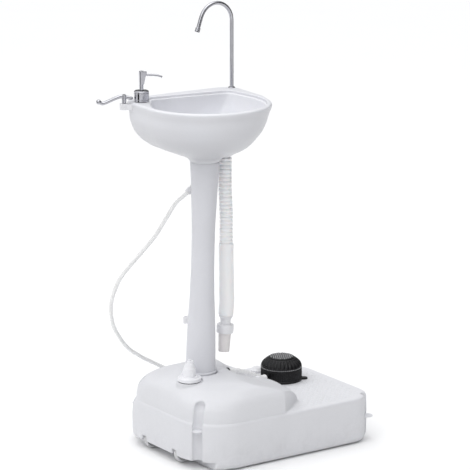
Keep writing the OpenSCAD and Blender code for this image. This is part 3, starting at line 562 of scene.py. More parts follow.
def surface(f, gx, gy, gz):
    """quads round the zero of a field on a grid, one point per crossed cell (surface nets), relaxed"""
    ins = f < 0
    c = np.zeros(tuple(s - 1 for s in f.shape), np.int8)
    for dx in (0, 1):
        for dy in (0, 1):
            for dz in (0, 1):
                c += ins[dx:f.shape[0] - 1 + dx, dy:f.shape[1] - 1 + dy, dz:f.shape[2] - 1 + dz]
    act = (c > 0) & (c < 8)
    cells = np.argwhere(act)
    idx = np.full(act.shape, -1, np.int32)
    idx[act] = np.arange(len(cells))
    acc, cnt = np.zeros((len(cells), 3)), np.zeros(len(cells))
    for ax in range(3):
        a, b = [k for k in range(3) if k != ax]
        for da in (0, 1):
            for db in (0, 1):
                o = np.zeros(3, int)
                o[a], o[b] = da, db
                p0 = cells + o
                p1 = p0.copy()
                p1[:, ax] += 1
                f0, f1 = f[tuple(p0.T)].astype(float), f[tuple(p1.T)].astype(float)
                x = (f0 < 0) != (f1 < 0)
                t = f0[x] / (f0[x] - f1[x])
                q = np.repeat(o[None].astype(float), x.sum(), 0)
                q[:, ax] = t
                acc[x] += q
                cnt[x] += 1
    pos = cells + acc / cnt[:, None]  # in grid steps
    quads = []
    for ax in range(3):
        a, b = [(1, 2), (2, 0), (0, 1)][ax]
        lo = [slice(None)] * 3
        hi = [slice(None)] * 3
        lo[ax], hi[ax] = slice(0, -1), slice(1, None)
        cross = ins[tuple(lo)] != ins[tuple(hi)]
        e = np.argwhere(cross)
        e = e[(e[:, a] > 0) & (e[:, b] > 0) & (e[:, a] < f.shape[a] - 1) & (e[:, b] < f.shape[b] - 1)]
        first = ins[tuple(e.T)]
        q = []
        for da, db in ((-1, -1), (0, -1), (0, 0), (-1, 0)):
            k = e.copy()
            k[:, a] += da
            k[:, b] += db
            q.append(idx[tuple(k.T)])
        q = np.stack(q, 1)
        q[~first] = q[~first][:, ::-1]
        quads.append(q)
    quads = np.concatenate(quads)
    quads = quads[(quads >= 0).all(1)]

    def world(p):
        return np.stack([np.interp(p[:, k], np.arange(len(g)), g) for k, g in enumerate((gx, gy, gz))], 1)

    # relax each point towards its neighbours, then drop it back on the surface
    e = np.concatenate([quads[:, [0, 1]], quads[:, [1, 2]], quads[:, [2, 3]], quads[:, [3, 0]]])
    deg = np.bincount(e.ravel(), minlength=len(pos)).astype(float)
    step = np.array([np.gradient(g).mean() for g in (gx, gy, gz)])
    for it in range(4):
        s = np.zeros_like(pos)
        for k in range(3):
            s[:, k] = np.bincount(e[:, 0], pos[e[:, 1], k], len(pos)) + np.bincount(e[:, 1], pos[e[:, 0], k], len(pos))
        new = s / np.maximum(deg, 1)[:, None]
        pos = pos + 0.5 * (new - pos)
        for _ in range(2):
            v0 = sample(f, pos)
            g = np.stack([(sample(f, pos + d) - sample(f, pos - d)) / 0.8 for d in np.eye(3) * 0.4], 1)
            n2 = np.maximum((g ** 2).sum(1), 1e-6)
            move = -(v0 / n2)[:, None] * g
            length = np.linalg.norm(move, axis=1)
            pos = pos + move * np.minimum(1, 0.6 / np.maximum(length, 1e-9))[:, None]
    used = np.unique(quads)
    renum = np.full(len(pos), -1, np.int64)
    renum[used] = np.arange(len(used))
    return world(pos[used]), renum[quads]


def steps(*spans):
    """a list of heights: (from, to, step), ..."""
    out = []
    for a, b, s in spans:
        out += list(np.arange(a, b - 1e-6, s))
    out.append(spans[-1][1])
    return np.array(out)


# ---------------------------------------------------------------- tank
HL, HW, CW, CP = 260.0, 199.0, 110.0, 70.0
COL_B, COL_T = np.array([-137.0, 0.0]), np.array([-122.0, 0.0])
CAP, PUMP, PLUG = np.array([-199.0, -45.0]), np.array([139.0, 45.0]), np.array([126.0, 133.0])
hose_pts = [(-76, -10, 185.6), (-64, -8, 184.4), (-52, -6, 182.8), (-28, 0, 177), (0, 8, 166.5), (26, 14, 155),
            (46, 18.6, 144.6), (58.6, 21.7, 139.2), (68, 24, 137), (71.85, 25.15, 137), (75.7, 26.3, 137)]

CB = 105.0
low_z = [0, 3, 8, 15, 60, 95, 108, 114, 118]
low_i = [[14, 14], [8, 8], [3, 3], [0.3, 0.3], [0, 0], [0.2, 4], [0.5, 13], [2, 20], [8, 30]]
hump = [[108, 5, 105, 76, -17, 14, 58], [130, 5.5, 106, 73, -17, 15, 50], [145, 7, 110, 58, -16, 18, 32],
        [158, 11, 115, 36, -13, 25, 13], [168, 17, 120, 6, -14, 37, -4], [175, 24, 125, -24, -30, 52, -15],
        [184, 35, 130, -60, -62, 77, -26], [190, 50, 130, -82, -85, 97, -37], [195, 75, 118, -98, -100, 118, -57],
        [196, 100, 96, -112, -114, 134, -84]]


def low_circles(z):
    i, b = pchip(low_z, low_i, z)
    return [(-HL + CW, -HW + CW, CW - i), (-HL + CW, HW - CW - b + i, CW - i),
            (HL - CP, -HW + CP, CP - i), (HL - CB, HW - CB - b + i, CB - i)]


def hump_circles(z):
    i, rr, xr, xc, b, xb = pchip([h[0] for h in hump], [h[1:] for h in hump], z)
    yc = -HW + i
    arc = [math.radians(t) for t in np.linspace(0, 90, 13)]
    front = [(min(-HL + i + rr - (rr - 12) * math.cos(t), xr - 12), yc + rr - (rr - 12) * math.sin(t), 12) for t in arc]
    back = [(min(-HL + i + rr - (rr - 12) * math.cos(t), xb - 12), HW - b - rr + (rr - 12) * math.sin(t), 12) for t in arc]
    return front + back + [
            (xc - 3, yc + 3, 3), (xr - 21, yc + max(6, (xr - 15 - xc) * 0.82), 6), (xr - 20, -60, 20), (xb - 30, HW - b - 30, 30)]


h = 2.0
gx, gy = np.arange(-HL - 2 * h, HL + 2.5 * h, h), np.arange(-HW - 2 * h, HW + 2.5 * h, h)
q = 1.0
gz = steps((-4, 20, 1.5 * q), (20, 104, 3.0 * q), (104, 122, 1.2 * q), (122, 182, 2.4 * q), (182, 200, 0.7 * q))
X, Y, Z = [a.astype(np.float32) for a in (gx[:, None, None], gy[None, :, None], gz[None, None, :])]


def cyl(x, y, r):
    return np.sqrt((X - x) ** 2 + (Y - y) ** 2) - r


low2 = slices(gx, gy, gz, low_circles)
low = smax(true_distance(low2, gx, gy, gz), np.maximum(Z - 118, -Z), 1.6)
hmp = true_distance(slices(gx, gy, gz, hump_circles), gx, gy, gz)
hmp = smax(hmp, Z - 196, 1.5)
hmp = np.maximum(hmp, 100 - Z)
k = np.clip(3 + (-low2 - 9) * 0.5, 3, 11)
F = smin(low, hmp, k)
del low, hmp
# raised strip at the wheel end
F = smax(F, -np.maximum(X + 212, Z - 21), 4)


def capsules(pts, r):
    d = None
    for a, b in zip(pts[:-1], pts[1:]):
        a, b = np.array(a, float), np.array(b, float)
        u = b - a
        t = np.clip(((X - a[0]) * u[0] + (Y - a[1]) * u[1] + (Z - a[2]) * u[2]) / (u @ u), 0, 1)
        e = np.sqrt((X - a[0] - t * u[0]) ** 2 + (Y - a[1] - t * u[1]) ** 2 + (Z - a[2] - t * u[2]) ** 2) - r
        d = e if d is None else np.minimum(d, e)
    return d


# corner grooves; at the wheel end they lean inwards with the hump and end in a dome
CORNERS = ((-HL + CW, -HW + CW, CW, 210.5), (-HL + CW, HW - CW, CW, 149.5),
           (HL - CP, -HW + CP, CP, -45), (HL - CB, HW - CB, CB, 45))
for g, (gx0, gy0, gr, ga) in enumerate(CORNERS):
    a = math.radians(ga)
    lean = ((-40, 0), (104, 0), (112, 4), (130, 6.5), (145, 10), (157, 16.5)) if g == 0 else \
        ((-40, 0), (90, 0), (112, 10), (130, 14), (145, 18), (155, 24)) if g == 1 else ((-40, 0), (200, 0))
    pts = [(gx0 + (gr - 1.5 - d) * math.cos(a), gy0 + (gr - 1.5 - d) * math.sin(a), z) for z, d in lean]
    F = smax(F, -capsules(pts, 13), 1.4)
# wheel pockets
for y in (-67, 67):
    pocket = np.maximum(np.sqrt((X + 234) ** 2 + (Z - 23) ** 2) - 26.6, np.abs(Y - y) - 10)
    F = smax(F, -pocket, 1.4)
# boss of the rear elbow
boss = np.maximum(np.sqrt((X + 72) ** 2 + (Z - 128) ** 2) - 11, np.maximum(Y - 195, 150 - Y))
F = smin(F, boss, 3)
# column seat, filler neck
F = smax(F, -np.maximum(cyl(*COL_B, 43.6), 184 - Z), 1.0)
F = smin(F, np.maximum(cyl(*COL_B, 29.6), np.maximum(Z - 190, 150 - Z)), 0.5)
F = smin(F, np.maximum(cyl(*CAP, 32), np.maximum(Z - 192, 160 - Z)), 3)
F = smax(F, -np.maximum(cyl(*CAP, 33), 192 - Z), 1.2)
F = smax(F, -np.maximum(cyl(*CAP, 20.5), 60 - Z), 1.5)
# shallow valley in the hump along the pump's hose
va = np.array(rot("Z", 14)) @ np.array(rot("Y", 113)) @ np.array([0, 0, 1.0])
vx, vy, vz = X + 28, Y + 15, Z - 225
vt = vx * va[0] + vy * va[1] + vz * va[2]
valley = np.maximum(np.sqrt(np.maximum(vx ** 2 + vy ** 2 + vz ** 2 - vt ** 2, 0)) - 53.5, np.maximum(-22 - vt, vt - 84))
F = smax(F, -valley, 10)
del vx, vy, vz, vt, valley
# raised collar where the pump's hose leaves the hump, and the hose's own groove
F = smin(F, capsules([(-90.8, -12.4, 187.0), (-80, -10.6, 185.9)], 11.5) , 7)
F = smin(F, capsules([(-80, -10.6, 186.0), (-77, -10.1, 185.7)], 12.6), 3)
F = smax(F, -capsules(route(hose_pts[:9], 1), 9.4), 2.0)
# a shallow flat pad where the foot pump stands
F = smax(F, -np.maximum(np.abs(cyl(*PUMP, 56.5)) - 1.1, 117.2 - Z), 1.2)
v, f = surface(F.astype(np.float32), gx, gy, gz)
tank = big_obj("tank_body", v, f, "tank", slot="hdpe_tank", replaces=["tank"])
del F, low2


def plate(cx, cy, r, z0, z1, edge=0.9, segs=64, clip=None):
    """a flat round-edged tab; clip is not used"""
    prof = fillet([(0, z0), (r, z0), (r, z1), (0, z1)], edge, 4)
    v, f = lathe_mesh(prof, segs)
    v = placed(v, (cx, cy, 0))
    return v, f


tabs = []
for g, (gx0, gy0, gr, ga) in enumerate(CORNERS):
    a = math.radians(ga)
    out = gr + (-6 if g < 2 else 2)
    tabs.append(plate(gx0 + out * math.cos(a), gy0 + out * math.sin(a), (13, 5, 14, 14)[g],
                      96 if g < 2 else 60, 99 if g < 2 else 63))
v, f = joined(tabs)
obj("tank_tabs", v, f, "tank", slot="hdpe_tank")

# raised dashes of the deck, laid like tread plate
dash = []


def dash_at(cx, cy, ang, length=8.5, width=2.5, high=1.15):
    n, m = 10, 3
    vs, fs = [], []
    for i in range(n + 1):
        s = i / n * 2 - 1
        w = width / 2 * math.sqrt(max(0, 1 - s * s)) + 0.02
        for j in range(-m, m + 1):
            t = j / m
            hgt = high * max(0, (1 - s * s) * (1 - t * t)) ** 0.6
            vs.append((s * length / 2, t * w, hgt))
    wd = 2 * m + 1
    for i in range(n):
        for j in range(wd - 1):
            fs.append((i * wd + j, (i + 1) * wd + j, (i + 1) * wd + j + 1, i * wd + j + 1))
    base = len(vs)
    rim = [i * wd for i in range(n + 1)] + [n * wd + j for j in range(1, wd)] + \
          [i * wd + wd - 1 for i in range(n - 1, -1, -1)] + [j for j in range(wd - 2, 0, -1)]
    vs += [(vs[r0][0], vs[r0][1], -0.6) for r0 in rim]
    for a in range(len(rim)):
        b = (a + 1) % len(rim)
        fs.append((rim[b], rim[a], base + a, base + b))
    fs.append(tuple(range(base, base + len(rim))))
    c, s = math.cos(ang), math.sin(ang)
    vs = [(cx + x * c - y * s, cy + x * s + y * c, 118.0 + z) for x, y, z in vs]
    return vs, fs


def deck_free(x, y):
    if (x - PUMP[0]) ** 2 + (y - PUMP[1]) ** 2 < 66 ** 2 or (x - PLUG[0]) ** 2 + (y - PLUG[1]) ** 2 < 26 ** 2:
        return False
    if abs(x - 196.3) < 12 and abs(y - 6.4) < 12:
        return False
    inset = 20
    cx, cy = HL - CP, -HW + CP
    if x > cx and y < cy:
        return (x - cx) ** 2 + (y - cy) ** 2 < (CP - inset) ** 2
    if x > 155 and y > 72:
        return (x - 155) ** 2 + (y - 72) ** 2 < 85 ** 2
    if y < -HW + inset or y > 156 or x > HL - inset:
        return False
    d = max(np.array([(c[0] * math.cos(a) + c[1] * math.sin(a) + c[2]) for c in hump_circles(118)]).max() * -1
            + x * math.cos(a) + y * math.sin(a) for a in ANG[::6])
    return d > 13


gap = 11.0
for i in range(-2, 24):
    for j in range(-18, 19):
        x, y = 0 + i * gap, j * gap
        if deck_free(x, y):
            dash.append(dash_at(x, y, math.radians(45 if (i + j) % 2 else -45)))
v, f = joined(dash)
obj("deck_dashes", v, f, "tank", slot="hdpe_tank")


# ---------------------------------------------------------------- wheels
def wheel_mesh():
    r = 22.0
    prof = fillet([(4.2, -6.6), (8.2, -6.6), (8.4, -4.2), (16.8, -4.2), (17.4, -7), (r - 1.2, -7), (r, -5.6), (r, 5.6),
                   (r - 1.2, 7), (17.4, 7), (16.8, 4.2), (8.4, 4.2), (8.2, 6.6), (4.2, 6.6)], 0.9, 3)
    prof.append(prof[0])

    def ribs(rr, zz, th):
        outer = rr > r - 0.3
        web = (rr > 9) & (rr < 16.6)
        return rr - outer * 0.5 * (np.cos(th * 30) > 0.6), zz - np.sign(zz) * web * -1.1 * (np.cos(th * 5) > 0.86)

    v, f = lathe_mesh(prof, 150, mod=ribs)
    return v @ np.array(rot("X", 90)).T, f


for nm, y in (("wheel_left", 67), ("wheel_right", -67)):
    v, f = wheel_mesh()
    obj(nm + "_moulding", placed(v, (-234, y, 23)), f, "wheel", body=nm, slot="wheel_plastic", replaces=[nm], angle=35)


# ---------------------------------------------------------------- column
col_z = [-10, 2, 17, 77, 137, 177, 217, 277, 357, 417, 477, 517, 524]
col_r = [[36.6], [36.6], [36.4], [35.2], [33.2], [30.8], [29.4], [28.1], [28.4], [30.6], [33.1], [35.4], [35.6]]
tilt = rot("Y", math.degrees(math.atan(15 / 524)))
prof = [(0, -8)] + [(float(pchip(col_z, col_r, z)[0]), z) for z in np.linspace(-8, 523.6, 130)]
prof = prof[:-1] + fillet([prof[-1], (35.4, 524.0), (30, 524.0)], 0.6, 2) + [(0, 524.0)]


def seam(r, z, th):
    line = np.exp(-((np.abs(((th - math.radians(64) + math.pi) % (math.pi)) - math.pi / 2) - 0) / 0.014) ** 2)
    ridge = np.where(r > 20, 0.32, 0.0)
    swell = np.where(r > 20, 0.10 * np.sin(z * 0.045) * np.cos(th * 3 + 0.4), 0)
    return r + ridge * line + swell, z


v, f = lathe_mesh(prof, 224, mod=seam)
shaft = (placed(v, (COL_B[0], COL_B[1], 196), tilt), f)
v, f = lathe_mesh(fillet([(0, 187), (39.4, 187), (39.4, 198), (36.9, 200.4), (30, 201)], 1.2, 4) + [(0, 201)], 144)
foot = (placed(v, (COL_B[0], COL_B[1], 0)), f)
v, f = joined([shaft, foot])
obj("column_body", v, f, "column", slot="hdpe_column", replaces=["column"])


# ---------------------------------------------------------------- basin
bowl_lv = [[718, 0.30, 0], [736, 0.30, 0], [745, 0.462, 0], [765, 0.703, -7], [785, 0.826, -9], [805, 0.906, -7],
           [825, 0.949, -5], [845, 0.973, -2], [863, 1, 0], [868, 0.985, 0]]
rim_circles = [[-130, -19, 157], [-228, 85, 50], [4, 94, 40], [-20, -10, 56]]
inner_lv = [[757, 0.18, 56, 4], [764, 0.37, 36, 4], [775, 0.56, 18, 4], [800, 0.78, 4, 3], [830, 0.90, 0, 2],
            [858, 0.97, 0, 0], [872, 1, 0, 0]]
inner_circles = [[-130, -19, 143], [-22, -12, 37], [-30, 60, 40], [-190, 80, 40]]


def bowl_circles(z):
    s, dx = pchip([b[0] for b in bowl_lv], [b[1:] for b in bowl_lv], z)
    return [(-125 + dx + (a + 125) * s, -5 + (b + 5) * s, r * s) for a, b, r in rim_circles]


def inner_at(z, grow=0.0):
    s, dx, dy = pchip([b[0] for b in inner_lv], [b[1:] for b in inner_lv], z)
    return [(-125 + dx + (a + 125) * s, -5 + dy + (b + 5) * s, r * s + grow) for a, b, r in inner_circles]


h = 1.7
gx, gy = np.arange(-292, 50, h), np.arange(-182, 144, h)
gz = steps((714, 752, 1.5 * q), (752, 780, 1.4 * q), (780, 850, 2.4 * q), (850, 872, 0.8 * q))
X, Y, Z = [a.astype(np.float32) for a in (gx[:, None, None], gy[None, :, None], gz[None, None, :])]
F = true_distance(slices(gx, gy, gz, bowl_circles), gx, gy, gz)
F = smax(F, np.maximum(Z - 868, 736 - Z), 3.0)
neck = cyl(*COL_T, 0) - np.interp(gz, [716, 720, 742, 760], [35.2, 35.8, 49, 60]).astype(np.float32)[None, None, :]
neck = np.maximum(neck * 0.87, np.maximum(720 - Z, Z - 752))
F = smin(F, neck, 14)
F = smin(F, np.maximum(cyl(-64, -1, 20), np.maximum(736 - Z, Z - 756)), 6)
F = np.maximum(F, 720 - Z)
# the bowl, cut short by the tap's ear and the soap shelf
inn = true_distance(slices(gx, gy, gz, inner_at), gx, gy, gz)
inn = smax(inn, 757 - Z, 5)
back = (X + 207) * 0.1392 + (Y - 112) * 0.9903
u = np.array([math.cos(math.radians(60)), math.sin(math.radians(60))])
nrm = np.array([-u[1], u[0]])
shelf = -((X + 247) * nrm[0] + (Y - 39) * nrm[1])
inn = smax(smax(inn, back, 9), -shelf, 9)
F = smax(F, -inn, 4.5)
# step just under the lip
ledge = true_distance(slices(gx, gy, gz, lambda z: [(a, b, r + 4.6) for a, b, r in inner_at(864)]), gx, gy, gz)
ledge = smax(smax(ledge, back - 4.6, 9), -(shelf + 4.6), 9)
ledge = np.maximum(ledge, 861.6 - Z)
F = smax(F, -ledge, 1.8)
# drain seat and hole, tap hole and the pocket under the tap, and the soap pump's hole
F = smax(F, -np.maximum(cyl(-64, -1, 23.2), 757 - Z), 1.2)
F = smax(F, -np.maximum(cyl(-64, -1, 12.6), 700 - Z), 0.6)
F = smax(F, -np.maximum(cyl(31, 109, 8.1), 845 - Z), 0.6)
F = smax(F, -np.maximum(cyl(34, 111, 14.5), np.maximum(Z - 852, 780 - Z)), 0.8)
F = smax(F, -np.maximum(cyl(-253, 76, 12.2), 800 - Z), 0.6)
v, f = surface(F.astype(np.float32), gx, gy, gz)
obj_basin = big_obj("basin_bowl", v, f, "basin", slot="hdpe_basin", replaces=["basin"])
del F, inn, ledge


# ---------------------------------------------------------------- drain in the bowl
def lathed(name, prof, mat, at=(0, 0, 0), rotation=None, r=0.6, n=4, segs=72, closed=False, mod=None, angle=40, **kw):
    prof = fillet(prof, r, n)
    if closed:
        prof.append(prof[0])
    v, f = lathe_mesh(prof, segs, mod=mod)
    return obj(name, placed(v, at, rotation), f, mat, angle=angle, **kw)


lathed("drain_body_ring", [(10, 702), (10, 759.8), (16.6, 759.8), (17.0, 761.2), (19.5, 761.7), (22, 760.4), (22, 758.6),
                           (12.4, 758.2), (12.4, 720), (12.4, 697), (10, 697), (10, 702)], "fitting", (-64, -1, 0),
       slot="white_fitting", replaces=["drain_body"], segs=96)


def holed_disc(name, at, r, z0, z1, holes, mat, **kw):
    """a round disc with round holes, its holes bevelled, on a fine grid cut by the holes' distance"""
    g = np.arange(-r - 0.9, r + 0.95, 0.45)
    gzz = np.arange(z0 - 0.9, z1 + 0.95, 0.3)
    xx, yy, zz = g[:, None, None], g[None, :, None], gzz[None, None, :]
    d = smax(np.sqrt(xx ** 2 + yy ** 2) - r, np.maximum(zz - z1, z0 - zz), 0.5)
    for hx, hy, hr in holes:
        d = smax(d, -(np.sqrt((xx - hx) ** 2 + (yy - hy) ** 2) - hr) + 0 * zz, 0.5)
    v, f = surface(d.astype(np.float32), g, g, gzz)
    return big_obj(name, v + np.array([at[0], at[1], 0]), f, mat, **kw)


holes = [(0, 0, 1.9)] + [(6.2 * math.cos(a), 6.2 * math.sin(a), 1.9) for a in np.arange(6) * math.pi / 3] + \
        [(11.8 * math.cos(a), 11.8 * math.sin(a), 1.7) for a in np.arange(12) * math.pi / 6 + 0.26]
holed_disc("drain_strainer_plate", (-64, -1), 16.6, 760.0, 761.5, holes, "chrome", slot="chrome",
           replaces=["drain_strainer"])


# ---------------------------------------------------------------- tap
lathed("tap_base_ring", [(4.81, 846), (4.81, 870.2), (7.4, 870.2), (8.8, 868.1), (7.8, 868), (7.8, 838), (4.4, 836), (4.4, 818.5),
                         (2.6, 818.5), (2.6, 846), (4.81, 846)], "chrome", (31, 109, 0), r=0.5, segs=80,
       slot="chrome", replaces=["tap_base"])

BOW_R, BOW_H = 48.0, 1034.0
head = rot("Z", 183)
pts = [(0, 0, z) for z in np.linspace(846, BOW_H, 60)]
pts += [(BOW_R - BOW_R * math.cos(a), 0, BOW_H + BOW_R * math.sin(a)) for a in np.radians(np.linspace(2, 160, 60))]
dn = math.radians(20)
tip_at = np.array([BOW_R + BOW_R * math.cos(dn), 0, BOW_H + BOW_R * math.sin(dn)])
tip_to = np.array([math.sin(math.radians(160)), 0, math.cos(math.radians(160))])
pts += [tuple(tip_at + tip_to * s) for s in np.linspace(1, 34.5, 14)]
v, f = tube_mesh(pts, 4.75, 32)
obj("tap_spout_tube", placed(v, (31, 109, 0), head), f, "chrome", body="spout", slot="chrome", replaces=["tap_spout"])
ax = tip_to
tilt_a = Matrix.Rotation(math.radians(160), 3, "Y")
v, f = lathe_mesh(fillet([(4.8, 26), (5.7, 26.2), (6.15, 27.2), (6.15, 30.4), (5.9, 30.8), (5.9, 31.5), (6.15, 31.9), (6.15, 36),
                          (5.6, 37), (3.0, 37), (3.0, 34.5), (0, 34.5)], 0.3, 3), 64)
v = v @ np.array(tilt_a).T + tip_at
obj("tap_aerator_collar", placed(v, (31, 109, 0), head), f, "chrome", body="spout", slot="chrome",
    replaces=["tap_aerator"], angle=40)


# ---------------------------------------------------------------- soap dispenser
SOAP = (-253, 76, 0)
lathed("soap_collar_ring", [(8.5, 852), (8.5, 891), (5.1, 891), (5.1, 895), (16.2, 895), (18, 893), (18, 890.6), (17.5, 890.2),
                            (17.5, 889.4), (18, 889), (18, 874.4), (17.4, 874), (17.4, 873), (18, 872.6), (18, 869),
                            (12, 869), (12, 857), (8.5, 852)], "chrome", SOAP, r=0.5, segs=96, slot="chrome",
       replaces=["soap_collar"])
hs = 0.45
gx, gy, gz = np.arange(-8, 17, hs), np.arange(-8, 8.1, hs), np.arange(877, 944, hs)
X, Y, Z = gx[:, None, None], gy[None, :, None], gz[None, None, :]
R = np.sqrt(X ** 2 + Y ** 2)
post = smax(R - np.interp(gz, [909, 940], [5.0, 5.8])[None, None, :], np.maximum(Z - 942, 878 - Z), 1.2)
beak = np.interp(gz, [909.5, 930, 938], [6.2, 10.5, 13.0])[None, None, :]
wedge = smax(np.maximum(np.abs(Y) - 4.3, -X) + 0 * Z, smax((X - beak) * 0.96 + 0 * Y, np.maximum(Z - 941, 910 - Z) + 0 * X, 2.0), 1.6)
F = smin(post + 0 * X, wedge, 1.2)
sv, sf = surface(F.astype(np.float32), gx, gy, gz)
noz = route([(4, 0, 933.2), (12, 0, 933), (26, 0, 932.8), (38, 0, 931.6), (45, 0, 929.8), (49.5, 0, 927.4)], 6)
s = lengths(noz)
nv, nf = tube_mesh(noz, 2.9 - 0.6 * s / s[-1], 24)
v, f = joined([(sv, [tuple(q) for q in sf]), (nv, nf)])
obj("soap_head_body", placed(v @ np.array(rot("Z", -34)).T, SOAP), f, "chrome", body="soap_pump", slot="chrome",
    replaces=["soap_head"])


# ---------------------------------------------------------------- towel arm
TOWEL = (-291, 94, 0)
arm_dir = rot("Z", 154)
arm = route([(-17, 0, 877.0), (-9, 0, 878.8), (0, 0, 880.6), (9, 0, 881.2), (16, 0, 879.4), (30, 0, 873.8), (43, 0, 868.3),
             (50, 0, 866.0), (55, 0, 866.8), (59, 0, 869.2)], 6)
av, af = tube_mesh(arm, 4.3, 32)
hub = lathe_mesh(fillet([(2.6, 865.4), (5.4, 865.4), (5.4, 885.2), (2.6, 885.2)], 0.9, 4) + [(2.6, 865.4)], 64)
ball = lathe_mesh([(6.0 * math.sin(a), -6.0 * math.cos(a)) for a in np.linspace(0, math.pi, 25)], 40)
end = lathe_mesh([(4.35 * math.sin(a), -4.35 * math.cos(a)) for a in np.linspace(0, math.pi, 19)], 32)
v, f = joined([(av, af), hub, (placed(ball[0], (61, 0, 869.8)), ball[1]), (placed(end[0], (-17, 0, 877)), end[1])])
obj("towel_arm_bar", placed(v @ np.array(arm_dir).T, TOWEL), f, "chrome", body="towel_rail", slot="chrome",
    replaces=["towel_arm"], angle=50)


# ---------------------------------------------------------------- foot pump
def housing(r, z, th):
    side = (r > 51.0) & (z > 124.5) & (z < 153)
    wave = 0.5 + 0.5 * np.cos(th * 72)
    return r - side * 1.0 * (1 - wave ** 3), z


hp = [(0, 124), (47, 124), (47.6, 154), (48.4, 155), (51.4, 155), (52, 154.2), (52, 150), (51.4, 149.4), (51.4, 148.4), (52, 147.8)]
hp += [(52, z) for z in np.linspace(146, 124.6, 12)] + [(53.4, 123.2), (53.4, 118.2), (0, 118.2)]
hv, hf = lathe_mesh(fillet(hp, 0.5, 2), 432, mod=housing)
lug = lathe_mesh(fillet([(2.2, 0), (7.6, 0), (7.6, 4.4), (2.2, 4.4)], 0.7, 3) + [(2.2, 0)], 40)
lug_v = lug[0].copy()
lug_v[:, 0] = np.where(lug_v[:, 0] < 0, lug_v[:, 0] * 1.9, lug_v[:, 0])
barb = [(0, 0), (5.0, 0), (5.0, 6), (5.6, 7.2), (5.6, 8), (4.9, 9.5), (5.6, 11.4), (4.9, 13), (5.5, 15), (4.6, 16.8), (0, 17)]
bv, bf = lathe_mesh(fillet(barb, 0.3, 2), 40)
bv = bv @ np.array(rot("Y", 90)).T
parts = [(hv, hf), (placed(lug_v, (59, 0, 118.2)) @ np.array(rot("Z", -34)).T, lug[1]),
         (placed(bv, (49, 0, 137)) @ np.array(rot("Z", 196.5)).T, bf)]
v, f = joined(parts)
obj("pump_housing", placed(v, (PUMP[0], PUMP[1], 0)), f, "black", slot="pump_black", replaces=["pump_base"], angle=45)


def beads(r, z, th):
    on = 0.5 + 0.5 * np.cos(th * 60)
    return np.where(r > 51.5, 51.5 + (r - 51.5) * on, r), z


# the bead ring takes the lighter shine rubber: a painted highlight along the housing's rim
bead = [(51.0, 151.2), (51.9, 151.3), (52.3, 152.3), (52.3, 152.9), (51.9, 153.9), (51.0, 154.0), (51.0, 151.2)]
v, f = lathe_mesh(bead, 480, mod=beads)
obj("pump_rim_beads", placed(v, (PUMP[0], PUMP[1], 0)), f, "shine", slot="pump_black", angle=50)


def folds(r, z, th):
    out = (z > 157) & (z < 173.5)
    lobe = 0.5 + 0.5 * np.cos(th * 30)
    return r - out * 1.9 * (1 - lobe) ** 1.5, z - out * 0.8 * (1 - lobe)


bp = [(48.2, 155.2), (47.2, 160), (41, 166), (33.4, 171.8), (33.3, 175.4), (36, 174.3), (38, 172.9), (40.4, 171.2),
      (42.6, 169.4), (44.8, 167.6), (46.8, 165.6), (48.6, 163.4), (50.2, 160.8), (51.2, 158.2), (51.8, 156), (51.8, 155.2),
      (48.2, 155.2)]
v, f = lathe_mesh(fillet(bp, 1.0, 3), 300, mod=folds)
bellows = obj("pump_dome", placed(v, (PUMP[0], PUMP[1], 0)), f, "black", slot="pump_black", replaces=["pump_bellows"])
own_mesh(bellows)

# tread disc with raised studs
tp = [(0, 168.4), (28, 168.4), (32.5, 168.2), (32.5, 176), (31.4, 177.6), (29, 178.2), (0, 178.6)]
v, f = lathe_mesh(fillet(tp, 0.8, 4), 144)
parts = [(v, f)]
studs = []
stud = lathe_mesh([(2.1, -0.6), (2.05, 0.2), (1.8, 0.85), (1.2, 1.2), (0, 1.3)], 14)
for i in range(-7, 8):
    for j in range(-7, 8):
        x, y = 6.0 * (i + 0.5 * (j % 2)), 5.2 * j
        rr = math.hypot(x, y)
        if rr < 28.6:
            studs.append((placed(stud[0], (x, y, 178.35 + 0.2 * (1 - (rr / 29) ** 2))), stud[1]))
v, f = joined(parts)
obj("pump_tread_disc", placed(v, (PUMP[0], PUMP[1], 0)), f, "black", body="tread", slot="pump_black",
    replaces=["pump_tread"], angle=50)
# the studs take the lighter shine rubber: painted highlights on the tread
v, f = joined(studs)
obj("pump_tread_studs", placed(v, (PUMP[0], PUMP[1], 0)), f, "shine", body="tread", slot="pump_black", angle=50)


# ---------------------------------------------------------------- springs, each on a mesh of its own
def coil(x, y, z, r, w, h, turns):
    n = turns * 36
    pts = np.array([(x + r * math.cos(math.pi * i / 18), y + r * math.sin(math.pi * i / 18), z + w + (h - 2 * w) * i / n)
                    for i in range(n + 1)])
    return tube_mesh(pts, w, 10)


v, f = coil(PUMP[0], PUMP[1], 126, 22, 1.4, 42, 5)
spring = obj("pump_spring_coil", v, f, "steel", slot="steel", replaces=["pump_spring"])
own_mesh(spring)
v, f = coil(SOAP[0], SOAP[1], 856, 4, 0.5, 22, 6)
spring = obj("soap_spring_coil", v, f, "steel", slot="steel", replaces=["soap_spring"])
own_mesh(spring)


# ---------------------------------------------------------------- hose from the hump to the pump
line, s = resampled(route(hose_pts, 8), 2.0)
v, f = tube_mesh(line, [8.0 - 0.5 * max(0, 1 - x / 1.5) - 0.5 * max(0, 1 - (s[-1] - x) / 1.5) for x in s], 40)
obj("pump_hose_tube", v, f, "hose", slot="hose_white", replaces=["pump_hose"])
# the grommet's lip round the hose, just outside the hump's collar
i0, i1 = (int(np.searchsorted(s, t)) for t in (11.0, 15.0))
v, f = tube_mesh(line[i0:i1 + 1], [9.7] * (i1 + 1 - i0), 40)
obj("hose_grommet_lip", v, f, "seal", slot="seal_rubber")


